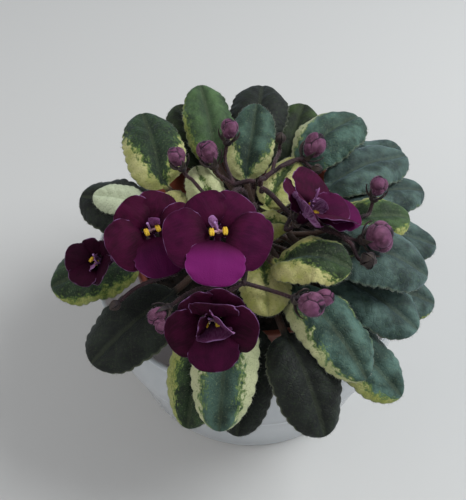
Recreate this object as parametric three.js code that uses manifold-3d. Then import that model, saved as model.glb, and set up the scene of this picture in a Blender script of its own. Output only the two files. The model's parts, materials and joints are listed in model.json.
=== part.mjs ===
// A potted african violet: a small variegated rosette in bloom, in a nursery pot that stands in a clear cup.
// Millimetres, +Z up. The origin is the middle of the cup's flat bottom, on the pot's axis.
import * as THREE from "three";
import { mergeVertices } from "three/addons/utils/BufferGeometryUtils.js";
import Module from "manifold-3d";

const GAP = 0.3; // clearance where two pieces touch

const CUP = {
  footRadius: 50,
  bandRadius: 58,
  rimRadius: 59.2,
  bandLow: 34,
  height: 62,
  wall: 0.9,
  floor: 1.2,
  segments: 32,
};
const POT = {
  height: 71.2,
  baseRadius: 32,
  wallTop: 43,
  rimRadius: 45,
  lipBand: 9,
  wall: 1.4,
  floor: 1.6,
  holes: 5,
  holeRadius: 3,
  holeCircle: 20,
  segments: 32,
};
const POT_FOOT = CUP.floor + GAP; // height of the pot's underside
const POT_RIM = POT_FOOT + POT.height;
const SOIL = { level: 63, grain: 0.8, segments: 18 };
const CROWN = { plug: 10, radius: 7, topRadius: 4, top: 88 };

const LEAF = {
  petiole: 1.25, // radius of the stalk at the blade
  root: 1, // radius of the stalk at the crown
  thickness: 0.9,
  edge: 0.7,
  belly: 0.34, // how far each half bulges between midrib and margin, as a share of the width
  sag: 0.1, // how far the margins hang below the midrib, as a share of the width
  wave: 0.5, // depth of the margin's waves
  waves: 2.5, // waves along each margin
  tooth: 0.05, // depth of the scalloped edge, as a share of the half width
  fullness: 0.95, // below 1 the widest place moves towards the stalk
  round: 2.5, // 2 for an ellipse, more for blunter ends
  petioleSteps: 3,
  bladeSteps: 7,
};
const CLEAR = 0.7; // air left when one leaf lies over another

// The leaves, from the lowest to the topmost. root is the azimuth at which the petiole leaves the
// crown; base and tip are the two ends of the blade, by azimuth, reach from the axis and height.
const LEAVES = [
  { root: 201, base: [201, 43, 76], tip: [200, 74, 72], width: 23, roll: -8, colour: "mottled" },
  { root: -90, base: [-93, 44, 76], tip: [-95, 72, 56], width: 20, roll: 0, colour: "dark" },
  { root: -118, base: [-109, 43, 76], tip: [-107, 74, 54], width: 20, roll: 0, colour: "mottled" },
  { root: -62, base: [-63, 45, 76], tip: [-54, 77, 64], width: 21, roll: 0, colour: "mottled" },
  { root: -34, base: [-38, 38, 76], tip: [-27, 68, 70], width: 22, roll: 4, colour: "blue" },
  { root: -6, base: [-11, 33, 76], tip: [-8, 65, 73], width: 20, roll: 4, colour: "blue" },
  { root: 24, base: [34, 40, 76], tip: [34, 70, 80], width: 22, roll: 6, colour: "blue" },
  { root: 62, base: [68, 30, 76], tip: [70, 63, 85], width: 23, roll: 0, colour: "dark" },
  { root: 122, base: [121, 35, 76], tip: [117, 66, 85], width: 19, roll: 0, colour: "dark" },
  { root: 92, base: [88, 36, 77], tip: [86, 67, 83], width: 24, roll: 0, colour: "dark" },
  { root: 172, base: [183, 33, 77], tip: [173, 63, 82], width: 23, roll: -14, colour: "dark" },
  { root: -145, base: [-131, 41, 77], tip: [-134, 75, 70], width: 25, roll: -4, colour: "dark" },
  { root: -76, base: [-80, 50, 76], tip: [-75, 78, 60], width: 22, roll: 0, colour: "dark" },
  { root: 9, base: [6, 30, 78], tip: [10, 63, 78], width: 20, roll: 4, colour: "blue" },
  { root: 150, base: [181, 37, 77], tip: [176, 57, 76], width: 13, roll: -12, colour: "cream" },
  { root: -48, base: [-47, 34, 80], tip: [-41, 68, 74], width: 22, roll: 4, colour: "blue" },
  { root: 43, base: [17, 27, 80], tip: [21, 60, 83], width: 21, roll: 5, colour: "blue" },
  { root: -104, base: [-101, 43, 78], tip: [-99, 75, 55], width: 21, roll: 0, colour: "mottled" },
  { root: -20, base: [-21, 28, 79], tip: [-9, 53, 80], width: 20, roll: 4, colour: "green" },
  { root: 107, base: [116, 30, 81], tip: [110, 60, 96], width: 20, roll: 0, colour: "green" },
  { root: 136, base: [163, 33, 77], tip: [135, 60, 91], width: 23, roll: 0, colour: "mottled" },
  { root: -34, base: [-47, 32, 80], tip: [-30, 63, 75], width: 24, roll: 5, colour: "blue" },
  { root: -62, base: [-71, 37, 82], tip: [-63, 71, 71], width: 21, roll: 0, colour: "mottled" },
  { root: 62, base: [43, 22, 80], tip: [43, 54, 85], width: 23, roll: 0, colour: "mottled" },
  { root: 190, base: [198, 24, 82], tip: [173, 31, 87], width: 13, roll: 0, colour: "cream" },
  { root: 92, base: [100, 15, 84], tip: [88, 42, 98], width: 18, roll: 0, colour: "mottled" },
  { root: -8, base: [-55, 28, 81], tip: [-43, 43, 81], width: 11, roll: 0, colour: "dark" },
  { root: -90, base: [-86, 24, 84], tip: [-86, 47, 78], width: 17, roll: 0, colour: "cream" },
  { root: -76, base: [-80, 32, 85], tip: [-55, 48, 84], width: 19, roll: 0, colour: "mottled" },
  { root: 215, base: [212, 15, 85], tip: [153, 23, 95], width: 14, roll: 0, colour: "cream" },
  { root: 24, base: [-40, 5, 88], tip: [40, 19, 97], width: 14, roll: 0, colour: "cream" },
  { root: -130, base: [-102, 16, 87], tip: [-58, 20, 90], width: 13, roll: 0, colour: "cream" },
];
const ROOTS = { low: 65.5, high: 78, tilt: 14 }; // lowest and topmost root, and how much steeper it starts

const STALK = {
  root: 2.4, // distance of the stalks' feet from the axis, on top of the crown
  foot: 0.95, // radius of a stalk at its foot
  fork: 0.85, // and where its pedicels part
  pedicel: 0.6,
  sides: 5,
  step: 6, // length of a straight piece
  clear: 0.9, // air left over the leaves
  ease: 7, // how far along a stalk a bend is spread
};
const CALYX = {
  radius: 1.7,
  depth: 2,
  sepals: 5,
  length: 5, // a bloom's sepals
  tilt: 66, // and how far they are turned down from the way it faces
  room: 1, // air between a bud's sepals and the bud
  hold: 0.6, // how far up a bud its sepals reach, as a share of half its length
  pairHold: 0.4,
};
const BLOOM = {
  throat: 2.1, // radius of the short tube that the petals join in
  depth: 3, // length of the tube
  thickness: 0.7,
  ruffle: 0.5,
  fullness: 0.72, // below 1 the petals are broader near both ends
  steps: 4,
  // turn is a petal's angle from straight up, and layer how far it lies in front of the rearmost;
  // the two upper petals are the small ones
  petals: [
    { turn: 36, length: 12.5, width: 15, lean: -5, layer: 0 },
    { turn: -34, length: 12, width: 14.5, lean: -5, layer: 0.9 },
    { turn: 106, length: 15.5, width: 18.5, lean: 0, layer: 1.8 },
    { turn: -107, length: 15.5, width: 18.5, lean: 0, layer: 1.8 },
    { turn: 182, length: 16, width: 18, lean: 6, layer: 2.7 },
  ],
};
const ANTHER = { apart: 2, high: 3.2, radius: 0.85, length: 1.4, filament: 0.4 };
const BUD = {
  height: 1.15, // half its length, as a share of its radius
  openingHeight: 0.85, // the same for one that is about to open
  ridge: 0.07,
  sides: 10,
  stages: 5,
};

// The flower stalks. Places are azimuth, reach and height, as for the leaves. fork is where a stalk's
// pedicels part. at is the middle of a head, and faces the azimuth and elevation that it looks along;
// size is a share of the largest bloom or a bud's radius, open a bloom's angle from shut to flat, spin
// how far it is turned about the way it faces, and curl how much further each of its petals is shut.
const SPRAYS = [
  {
    root: 215,
    fork: [-126, 44, 92],
    heads: [
      { kind: "bloom", at: [-146, 40.5, 98], faces: [-62, 50], size: 0.95, open: 76, spin: 4 },
      { kind: "bloom", at: [-150.5, 57.2, 90], faces: [-126, 44], size: 0.64, open: 50, spin: -6 },
      { kind: "young", at: [-137, 60, 84], faces: [-140, -15], size: 1.4 },
    ],
  },
  {
    root: 275,
    fork: [-96, 42, 95],
    heads: [
      { kind: "bloom", at: [-103.8, 55.5, 96], faces: [-92, 22], size: 0.88, open: 64, spin: -6 },
      { kind: "bud", at: [-76, 49, 95], faces: [-40, 20], size: 3.9, pair: true },
      { kind: "bud", at: [-120, 55, 90.5], faces: [-150, -20], size: 2.8, pair: true },
    ],
  },
  {
    root: 160,
    fork: [-138, 17, 97],
    heads: [
      { kind: "bloom", at: [-112, 32, 105], faces: [-84, 55], size: 1, open: 84, spin: 8 },
      { kind: "bud", at: [166, 26, 99], faces: [140, 60], size: 3.2 },
    ],
  },
  {
    root: 100,
    fork: [160, 8, 93],
    heads: [
      { kind: "bud", at: [149, 17, 98], faces: [135, 60], size: 3.8 },
      { kind: "bud", at: [121, 18, 103], faces: [70, 60], size: 3.2 },
    ],
  },
  {
    root: 40,
    fork: [40, 8, 93],
    heads: [
      { kind: "young", at: [65, 22, 99], faces: [80, 75], size: 1.6 },
      { kind: "bud", at: [32, 21, 99], faces: [30, 45], size: 4.1 },
      { kind: "young", at: [18, 22, 97], faces: [-30, 20], size: 1.5 },
    ],
  },
  {
    root: -20,
    fork: [-45, 18, 93],
    heads: [
      { kind: "bloom", at: [-55, 26, 103.2], faces: [15, 47], size: 1, open: 64, curl: [0, 12, 0, 18, 0] },
      { kind: "bud", at: [-9, 40, 97], faces: [60, 60], size: 3.1 },
      { kind: "bud", at: [-39, 43, 98.8], faces: [-10, 25], size: 5.2, layered: true },
      { kind: "young", at: [-48.2, 48.5, 99.5], faces: [-60, 50], size: 2.2 },
    ],
  },
];

const COLOURS = {
  cup: 0xb9c0c4,
  pot: 0x7d4532,
  soil: 0x14110f,
  crown: 0x4c4038,
  dark: 0x26352b,
  blue: 0x48696a,
  green: 0x5f8a4c,
  mottled: 0x7d9160,
  cream: 0xbdbf84,
  stalk: 0x4a3038,
  bloom: 0x541545,
  anther: 0xd9b436,
  bud: 0x85506a,
};

const wasm = await Module();
wasm.setup();

const part = new THREE.Group();

// A closed geometry as a solid, turned the right way out.
function solidOf(geometry) {
  const bare = geometry.index ? geometry.toNonIndexed() : geometry.clone();
  bare.deleteAttribute("normal");
  bare.deleteAttribute("uv");
  const merged = mergeVertices(bare, 1e-4);
  const make = () =>
    new wasm.Manifold(
      new wasm.Mesh({
        numProp: 3,
        vertProperties: merged.attributes.position.array,
        triVerts: new Uint32Array(merged.index.array),
      }),
    );
  const solid = make();
  if (solid.volume() > 0) return solid;
  const corners = merged.index.array;
  for (let i = 0; i < corners.length; i += 3) {
    [corners[i + 1], corners[i + 2]] = [corners[i + 2], corners[i + 1]];
  }
  return make();
}

function geometryOf(solid) {
  const mesh = solid.getMesh();
  const positions = new Float32Array(mesh.numVert * 3);
  for (let i = 0; i < mesh.numVert; i++) {
    const corner = i * mesh.numProp;
    positions.set(mesh.vertProperties.subarray(corner, corner + 3), i * 3);
  }
  const geometry = new THREE.BufferGeometry();
  geometry.setAttribute("position", new THREE.BufferAttribute(positions, 3));
  geometry.setIndex(new THREE.BufferAttribute(mesh.triVerts, 1));
  geometry.computeVertexNormals();
  return geometry;
}

function addPiece(name, solid, colour, roughness = 0.6, options = {}) {
  const looks = { color: COLOURS[colour], roughness, metalness: 0, ...options };
  const material = new THREE.MeshStandardMaterial(looks);
  const mesh = new THREE.Mesh(geometryOf(solid), material);
  mesh.name = name;
  part.add(mesh);
  return mesh;
}

const radians = THREE.MathUtils.degToRad;

function polar(azimuth, radius, height) {
  const angle = radians(azimuth);
  return new THREE.Vector3(radius * Math.cos(angle), radius * Math.sin(angle), height);
}

// A turned solid from its profile of [radius, height] points, which starts and ends on the axis.
function turned(profile, segments) {
  const points = profile.map(([radius, height]) => new THREE.Vector2(radius, height));
  return solidOf(new THREE.LatheGeometry(points, segments).rotateX(Math.PI / 2));
}

// A closed skin over a row of rings with the same number of points, capped at both ends. The first
// half of a ring is its upper side and the second half its lower side, and both sides are split into
// triangles alike.
function skinned(rings) {
  const count = rings[0].length;
  const half = Math.ceil(count / 2);
  const positions = [];
  const corner = (point) => positions.push(point.x, point.y, point.z);
  const face = (...points) => points.forEach(corner);
  for (let i = 0; i + 1 < rings.length; i++) {
    for (let a = 0; a < count; a++) {
      const b = (a + 1) % count;
      const [near, far] = [rings[i], rings[i + 1]];
      if (a < half) {
        face(near[a], near[b], far[b]);
        face(near[a], far[b], far[a]);
      } else {
        face(near[a], near[b], far[a]);
        face(near[b], far[b], far[a]);
      }
    }
  }
  const [first, last] = [rings[0], rings[rings.length - 1]];
  for (let a = 1; a + 1 < count; a++) {
    face(first[0], first[a + 1], first[a]);
    face(last[0], last[a], last[a + 1]);
  }
  const geometry = new THREE.BufferGeometry();
  geometry.setAttribute("position", new THREE.Float32BufferAttribute(positions, 3));
  return solidOf(geometry);
}

// A smooth line through the points, by distance along it: a cubic between each two points, which
// share their direction at the point between them.
function smoothLine(points, firstDirection) {
  const spans = points.slice(1).map((point, i) => point.distanceTo(points[i]));
  const chords = spans.map((span, i) => points[i + 1].clone().sub(points[i]).divideScalar(span));
  const slopes = points.map((point, i) => {
    if (i === 0) return firstDirection ?? chords[0];
    if (i === spans.length) return chords[i - 1];
    const before = chords[i - 1].clone().multiplyScalar(spans[i]);
    const after = chords[i].clone().multiplyScalar(spans[i - 1]);
    return before.add(after).divideScalar(spans[i - 1] + spans[i]);
  });
  const length = spans.reduce((sum, span) => sum + span, 0);
  const at = (distance) => {
    let i = 0;
    let along = Math.min(Math.max(distance, 0), length);
    while (i + 1 < spans.length && along > spans[i]) {
      along -= spans[i];
      i += 1;
    }
    const span = spans[i];
    const t = along / span;
    const [t2, t3] = [t * t, t * t * t];
    return points[i]
      .clone()
      .multiplyScalar(2 * t3 - 3 * t2 + 1)
      .addScaledVector(slopes[i], (t3 - 2 * t2 + t) * span)
      .addScaledVector(points[i + 1], 3 * t2 - 2 * t3)
      .addScaledVector(slopes[i + 1], (t3 - t2) * span);
  };
  return { length, spans, at };
}

// The highest surface laid so far over each small square of the plan.
const SQUARE = 0.5;
const terrain = new Map();
const square = (x, y) => Math.round(x / SQUARE) * 1000 + Math.round(y / SQUARE);

function cover(point) {
  const place = square(point.x, point.y);
  terrain.set(place, Math.max(terrain.get(place) ?? -Infinity, point.z));
}

function groundUnder(point) {
  let highest = -Infinity;
  for (const dx of [-SQUARE, 0, SQUARE]) {
    for (const dy of [-SQUARE, 0, SQUARE]) {
      highest = Math.max(highest, terrain.get(square(point.x + dx, point.y + dy)) ?? -Infinity);
    }
  }
  return highest;
}

function crownRadius(height) {
  const share = Math.min(Math.max((height - SOIL.level) / (CROWN.top - SOIL.level), 0), 1);
  return CROWN.radius + (CROWN.topRadius - CROWN.radius) * share;
}

// One leaf's form. A place on it is a distance along its line from the crown, a column across it from
// -1 to 1, and a side, 1 for the upper face and -1 for the lower.
function leafForm(row, order) {
  const lifts = [];
  let rootHeight = ROOTS.low + ((ROOTS.high - ROOTS.low) * order) / (LEAVES.length - 1);
  let line;
  let bladeStart;

  function lay() {
    const [, baseReach, baseHeight] = row.base;
    const rise = Math.atan2(baseHeight - rootHeight, baseReach - CROWN.topRadius);
    const tilt = Math.min(rise + radians(ROOTS.tilt), radians(75));
    const rootRadius = crownRadius(rootHeight) + GAP + LEAF.root * (Math.sin(tilt) + 0.15);
    const root = polar(row.root, rootRadius, rootHeight);
    const base = polar(...row.base);
    const tip = polar(...row.tip);
    const middle = base.clone().add(tip).multiplyScalar(0.5);
    middle.z += 0.06 * base.distanceTo(tip);
    line = smoothLine([root, base, middle, tip], polar(row.root, Math.cos(tilt), Math.sin(tilt)));
    bladeStart = line.spans[0];
  }

  function liftAt(distance) {
    let lift = 0;
    for (const { place, need } of lifts) {
      const reach = distance < place ? 15 : 26;
      lift = Math.max(lift, need * Math.exp(-(((distance - place) / reach) ** 2)));
    }
    return lift;
  }

  function centre(distance) {
    const point = line.at(distance);
    point.z += (liftAt(distance - 2) + liftAt(distance) + liftAt(distance + 2)) / 3;
    return point;
  }

  function frame(distance) {
    const along = centre(Math.min(distance + 0.5, line.length)).sub(centre(Math.max(distance - 0.5, 0)));
    along.normalize();
    const side = new THREE.Vector3(along.y, -along.x, 0).normalize();
    side.applyAxisAngle(along, radians(row.roll));
    return { point: centre(distance), along, side, up: side.clone().cross(along) };
  }

  const bladeShare = (distance) => (distance - bladeStart) / (line.length - bladeStart);

  function halfWidth(share, step = 0) {
    const along = Math.abs(2 * Math.min(Math.max(share, 0), 1) ** LEAF.fullness - 1);
    const width = (row.width / 2) * Math.sqrt(Math.max(1 - along ** LEAF.round, 0));
    return Math.max(width * (1 - (step % 2) * LEAF.tooth), LEAF.petiole * (share > 0.5 ? 0.5 : 1));
  }

  function stalkRadius(distance) {
    return LEAF.root + (LEAF.petiole - LEAF.root) * Math.min(distance / bladeStart, 1);
  }

  function place(distance, column, side, step = 0, { point, side: sideways, up } = frame(distance)) {
    const share = bladeShare(distance);
    point = point.clone();
    if (share <= 0.001) {
      const radius = stalkRadius(distance);
      const rise = Math.sqrt(Math.max(1 - column * column, 0)) * radius;
      return point.addScaledVector(sideways, column * radius).addScaledVector(up, side * rise);
    }
    const half = halfWidth(share, step);
    const out = Math.abs(column);
    const bulge = LEAF.belly * (out - out * out) - LEAF.sag * out * out;
    const wave = LEAF.wave * out ** 3 * Math.sin(2 * Math.PI * LEAF.waves * share + order + column);
    const thick = (LEAF.thickness + (LEAF.edge - LEAF.thickness) * out) / 2;
    const rise = 2 * half * bulge + (wave * half * 2) / row.width + side * thick;
    return point.addScaledVector(sideways, column * half).addScaledVector(up, rise);
  }

  // Lays the leaf over what is there: its root moves up the crown, and it bends over the rest.
  function settle() {
    const across = (distance, side, visit) => {
      const here = frame(distance);
      const steps = Math.ceil(halfWidth(bladeShare(distance)) / SQUARE) + 2;
      for (let i = -steps; i <= steps; i++) visit(place(distance, i / steps, side, 0, here));
    };
    const needAt = (distance) => {
      let need = 0;
      across(distance, -1, (low) => {
        need = Math.max(need, groundUnder(low) + CLEAR - low.z);
      });
      return need;
    };
    for (let round = 0; round < 3; round++) {
      lay();
      rootHeight += Math.max(needAt(0), needAt(1.5), needAt(3));
    }
    lay();
    for (let round = 0; round < 3; round++) {
      const found = [];
      for (let distance = 3; distance <= line.length; distance += 1.5) {
        const need = needAt(distance);
        if (need > 0) found.push({ place: distance, need: need + liftAt(distance) });
      }
      lifts.push(...found);
    }
    for (let distance = 0; distance <= line.length; distance += 0.8 * SQUARE) across(distance, 1, cover);
    return rootHeight;
  }

  function rings() {
    const made = [];
    for (let step = 0; step < LEAF.petioleSteps; step++) {
      made.push(ring((bladeStart * step) / LEAF.petioleSteps));
    }
    for (let step = 0; step <= LEAF.bladeSteps; step++) {
      const share = (1 - Math.cos((Math.PI * step) / LEAF.bladeSteps)) / 2;
      made.push(ring(bladeStart + share * (line.length - bladeStart), step));
    }
    return made;
  }

  function ring(distance, step = 0) {
    const stalk = [-0.951, -0.588, 0, 0.588, 0.951];
    const blade = [-1, -0.5, 0, 0.5, 1];
    const columns = bladeShare(distance) <= 0.001 ? stalk : blade;
    const upper = columns.map((column) => place(distance, column, 1, step));
    const lower = columns.map((column) => place(distance, column, -1, step)).reverse();
    return [...upper, ...lower];
  }

  return { settle, rings };
}

// The cup: a foot, a tapered wall, a step out to the upper band and a rolled rim.
function makeCup() {
  const { footRadius, bandRadius, rimRadius, bandLow, height, wall, floor, segments } = CUP;
  const step = bandRadius - 1.6;
  const profile = [
    [0, 0],
    [footRadius, 0],
    [footRadius + 0.4, 1.5],
    [step, bandLow - 1.5],
    [bandRadius, bandLow],
    [bandRadius + 0.5, height - 2.5],
    [rimRadius, height - 2],
    [rimRadius, height],
    [bandRadius - wall + 0.5, height],
    [bandRadius - wall, bandLow + 0.6],
    [step - wall, bandLow - 0.9],
    [footRadius - wall, floor],
    [0, floor],
  ];
  return turned(profile, segments);
}

// The pot: tapered wall, lip band round the top and drain holes in the floor.
function makePot() {
  const { baseRadius, wallTop, rimRadius, lipBand, wall, floor, segments } = POT;
  const lipLow = POT_RIM - lipBand;
  const profile = [
    [0, POT_FOOT],
    [baseRadius, POT_FOOT],
    [wallTop - 0.6, lipLow - 1.2],
    [rimRadius - 0.8, lipLow],
    [rimRadius, POT_RIM - 0.8],
    [rimRadius - 0.5, POT_RIM],
    [rimRadius - wall - 0.4, POT_RIM],
    [wallTop - wall - 0.4, lipLow - 0.6],
    [baseRadius - wall, POT_FOOT + floor],
    [0, POT_FOOT + floor],
  ];
  let pot = turned(profile, segments);
  for (let i = 0; i < POT.holes; i++) {
    const hole = new THREE.CylinderGeometry(POT.holeRadius, POT.holeRadius, 3 * floor, 10);
    hole.rotateX(Math.PI / 2);
    const centre = polar((360 / POT.holes) * i, POT.holeCircle, POT_FOOT + floor / 2);
    pot = pot.subtract(solidOf(hole.translate(centre.x, centre.y, centre.z)));
  }
  return pot;
}

// The soil's surface height: low crumbs, by a formula.
function soilHeight(x, y) {
  const crumbs = Math.sin(0.9 * x + 1.7) * Math.sin(1.1 * y + 0.4) + 0.6 * Math.sin(0.43 * x - 0.61 * y);
  return SOIL.level + SOIL.grain * crumbs * 0.6;
}

function makeSoil() {
  const innerBase = POT.baseRadius - POT.wall - GAP;
  const innerTop = (height) => {
    const share = (height - POT_FOOT - POT.floor) / (POT_RIM - POT.lipBand - 0.6 - POT_FOOT - POT.floor);
    return innerBase + (POT.wallTop - POT.wall - 0.4 - GAP - innerBase) * Math.min(share, 1) - 0.15;
  };
  const low = POT_FOOT + POT.floor + GAP;
  const profile = [
    [0, low],
    [innerTop(low), low],
    [innerTop(POT_RIM - POT.lipBand - 3), POT_RIM - POT.lipBand - 3],
    [innerTop(SOIL.level) - 1.2, SOIL.level],
    [32, SOIL.level],
    [24, SOIL.level],
    [15, SOIL.level],
    [0, SOIL.level],
  ].map(([radius, height]) => new THREE.Vector2(radius, height));
  const geometry = new THREE.LatheGeometry(profile, SOIL.segments).rotateX(Math.PI / 2);
  const position = geometry.getAttribute("position");
  for (let i = 0; i < position.count; i++) {
    if (position.getZ(i) < SOIL.level - 0.01) continue;
    position.setZ(i, soilHeight(position.getX(i), position.getY(i)));
  }
  const hole = new THREE.CylinderGeometry(CROWN.radius + GAP, CROWN.radius + GAP, 2 * CROWN.plug, 16);
  hole.rotateX(Math.PI / 2).translate(0, 0, SOIL.level);
  return solidOf(geometry).subtract(solidOf(hole));
}

function makeCrown(top) {
  const foot = SOIL.level - CROWN.plug + GAP;
  const profile = [
    [0, foot],
    [CROWN.radius, foot],
    [CROWN.radius, SOIL.level],
    [crownRadius(top - 6), top - 6],
    [crownRadius(top) * 0.7, top - 1.5],
    [0, top],
  ];
  return turned(profile, 12);
}

// A round rod along a line that smoothLine made, with a radius at each end.
function rod(line, firstRadius, lastRadius, { sides = STALK.sides, step = STALK.step, lift = () => 0 } = {}) {
  const steps = Math.max(1, Math.round(line.length / step));
  const centreAt = (distance) => {
    const centre = line.at(distance);
    return centre.setZ(centre.z + lift(distance));
  };
  const rings = [];
  for (let i = 0; i <= steps; i++) {
    const distance = (line.length * i) / steps;
    const along = centreAt(Math.min(distance + 0.5, line.length)).sub(centreAt(Math.max(distance - 0.5, 0)));
    along.normalize();
    const side = new THREE.Vector3(along.y, -along.x, 0.02);
    side.addScaledVector(along, -side.dot(along)).normalize();
    const up = side.clone().cross(along);
    const radius = firstRadius + ((lastRadius - firstRadius) * i) / steps;
    const corners = Array.from({ length: sides }, (_, corner) => Math.PI - (2 * Math.PI * corner) / sides);
    rings.push(
      corners.map((angle) =>
        centreAt(distance)
          .addScaledVector(side, radius * Math.cos(angle))
          .addScaledVector(up, radius * Math.sin(angle)),
      ),
    );
  }
  return skinned(rings);
}

// How far a rod along this line is bent up to clear what lies under it. With held ends it stays where
// it is at its start and over the last third of its length.
function liftClear(line, radius, heldEnds = false) {
  const needs = [];
  for (let distance = 1; distance <= line.length * (heldEnds ? 0.7 : 1); distance += 0.7) {
    const low = line.at(distance);
    for (const across of [-radius, 0, radius]) {
      const under = groundUnder(new THREE.Vector3(low.x + across, low.y, 0));
      const crossed = groundUnder(new THREE.Vector3(low.x, low.y + across, 0));
      const need = Math.max(under, crossed) + radius * 1.2 + STALK.clear - low.z;
      if (need > 0) needs.push({ place: distance, need });
    }
  }
  return (distance) => {
    let lift = 0;
    for (const { place, need } of needs) {
      lift = Math.max(lift, need * Math.exp(-(((distance - place) / STALK.ease) ** 2)));
    }
    if (!heldEnds) return lift;
    return lift * Math.min(1, distance / 3, (line.length - distance) / (0.3 * line.length));
  };
}

// A head's own frame: its middle, and the turn that takes +Z to where it faces and keeps +Y upward.
function headFrame(head) {
  const [azimuth, elevation] = head.faces.map(radians);
  const level = Math.cos(elevation);
  const facing = new THREE.Vector3(level * Math.cos(azimuth), level * Math.sin(azimuth), Math.sin(elevation));
  const across = new THREE.Vector3(-Math.sin(azimuth), Math.cos(azimuth), 0);
  const upward = facing.clone().cross(across);
  const turn = new THREE.Quaternion().setFromRotationMatrix(
    new THREE.Matrix4().makeBasis(across, upward, facing),
  );
  return { position: polar(...head.at), turn, facing };
}

// How far behind a head's middle its calyx begins, and how large that calyx is.
const seat = (head) => (head.kind === "bloom" ? BLOOM.depth * head.size + GAP : GAP);
const calyxShare = (head) => (head.kind === "bloom" ? 0.9 : Math.min(head.size / 3.2, 1.1));

// The petals of a bloom, joined in a short tube. +Z is where it faces and +Y its upper side.
function makeBloom(head) {
  const tube = [
    [0, -BLOOM.depth],
    [BLOOM.throat * 0.6, -BLOOM.depth],
    [BLOOM.throat, -0.6],
    [BLOOM.throat, 0],
    [0, 0.2],
  ].map(([radius, height]) => [radius * head.size, height * head.size]);
  let bloom = turned(tube, 8);
  BLOOM.petals.forEach((petal, order) => {
    bloom = bloom.add(makePetal(petal, order, head));
  });
  return bloom;
}

function makePetal(petal, order, head) {
  const turned = radians(petal.turn + (head.spin ?? 0));
  const outward = new THREE.Vector3(Math.sin(turned), Math.cos(turned), 0);
  const sideways = new THREE.Vector3(outward.y, -outward.x, 0);
  const length = petal.length * head.size;
  const width = petal.width * head.size * (0.5 + 0.5 * Math.sin(radians(head.open)));
  const opened = head.open - petal.lean - (head.curl?.[order] ?? 0);
  const angleAt = (share) => radians(opened * (0.72 + 0.28 * share));
  const spine = (share) => {
    const reach = head.size + length * share * Math.sin(angleAt(share));
    const forward = petal.layer * Math.min(4 * share, 1) - 0.8;
    return outward
      .clone()
      .multiplyScalar(reach)
      .setZ(head.size * forward + length * share * Math.cos(angleAt(share)));
  };
  const rings = [];
  for (let step = -1; step <= BLOOM.steps; step++) {
    const turn = (Math.PI * Math.max(step, 0)) / BLOOM.steps;
    const share = step < 0 ? 0 : 0.14 + 0.43 * (1 - Math.cos(turn));
    const half = Math.max((width / 2) * Math.sin(turn) ** BLOOM.fullness, head.size);
    const along = spine(share + 0.02).sub(spine(share - 0.02)).normalize();
    const up = sideways.clone().cross(along).multiplyScalar(-1);
    const place = (column, side) => {
      const ruffle = BLOOM.ruffle * column * column * Math.sin(9 * share + 2 * order + 2 * column);
      const hollow = 0.1 * half * column * column;
      const rise = (half / width) * 2 * ruffle + hollow + (side * BLOOM.thickness) / 2;
      return spine(share).addScaledVector(sideways, column * half).addScaledVector(up, rise);
    };
    const columns = [-1, 0, 1];
    rings.push([
      ...columns.map((column) => place(column, 1)),
      ...columns.map((column) => place(column, -1)).reverse(),
    ]);
  }
  return skinned(rings);
}

// The twin anthers on their filaments, and the style between them.
function makeAnthers(head) {
  const foot = 0.2 * head.size + GAP;
  const share = head.size ** 0.7;
  const [apart, high, radius, length] = [ANTHER.apart, ANTHER.high, ANTHER.radius, ANTHER.length].map(
    (size) => size * share,
  );
  const spread = apart * Math.sin(radians(head.open));
  const thread = (...points) => {
    const line = smoothLine(points.map((point) => new THREE.Vector3(...point)));
    return rod(line, ANTHER.filament, ANTHER.filament, { sides: 3, step: 9 });
  };
  let anthers = solidOf(new THREE.SphereGeometry(0.8 * share, 4, 3).translate(0, 0, foot + 0.85));
  for (const side of [-1, 1]) {
    const lobe = new THREE.SphereGeometry(1, 5, 3).scale(radius, radius, length);
    lobe.rotateX(0.5).translate(side * spread, -0.3, high + foot);
    anthers = anthers.add(thread([0, 0, foot + 0.8], [side * spread * 0.9, -0.2, high + foot]));
    anthers = anthers.add(solidOf(lobe));
  }
  return anthers.add(thread([0, 0, foot + 0.8], [-0.9 * share, 2.2 * share, foot + 4.2 * share]));
}

// Half the length of a bud. One that is about to open is short and wide.
const budHeight = (head) => head.size * (head.layered ? BUD.openingHeight : BUD.height);

// A bud, or a pair of buds that lie against each other, with five ridges where the petals fold.
function makeBud(head) {
  const one = (radius, length, turnBy) => {
    const geometry = new THREE.SphereGeometry(1, BUD.sides, BUD.stages).rotateX(Math.PI / 2);
    const position = geometry.getAttribute("position");
    for (let i = 0; i < position.count; i++) {
      const [x, y, z] = [position.getX(i), position.getY(i), position.getZ(i)];
      const ridge = 1 + BUD.ridge * Math.cos(5 * Math.atan2(y, x) + turnBy);
      const spread = radius * ridge * (head.layered ? 1 + 0.16 * z : 1);
      position.setXYZ(i, x * spread, y * spread, z * length);
    }
    return geometry;
  };
  const size = head.size;
  const tall = budHeight(head);
  let bud = solidOf(one(size, tall, 0).translate(0, 0, tall));
  if (head.pair) {
    const second = one(size * 0.7, size * 0.85, 1).rotateY(0.5);
    bud = bud.add(solidOf(second.translate(size * 1.25, -0.3 * size, tall * 1.15)));
  }
  return bud;
}

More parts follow.
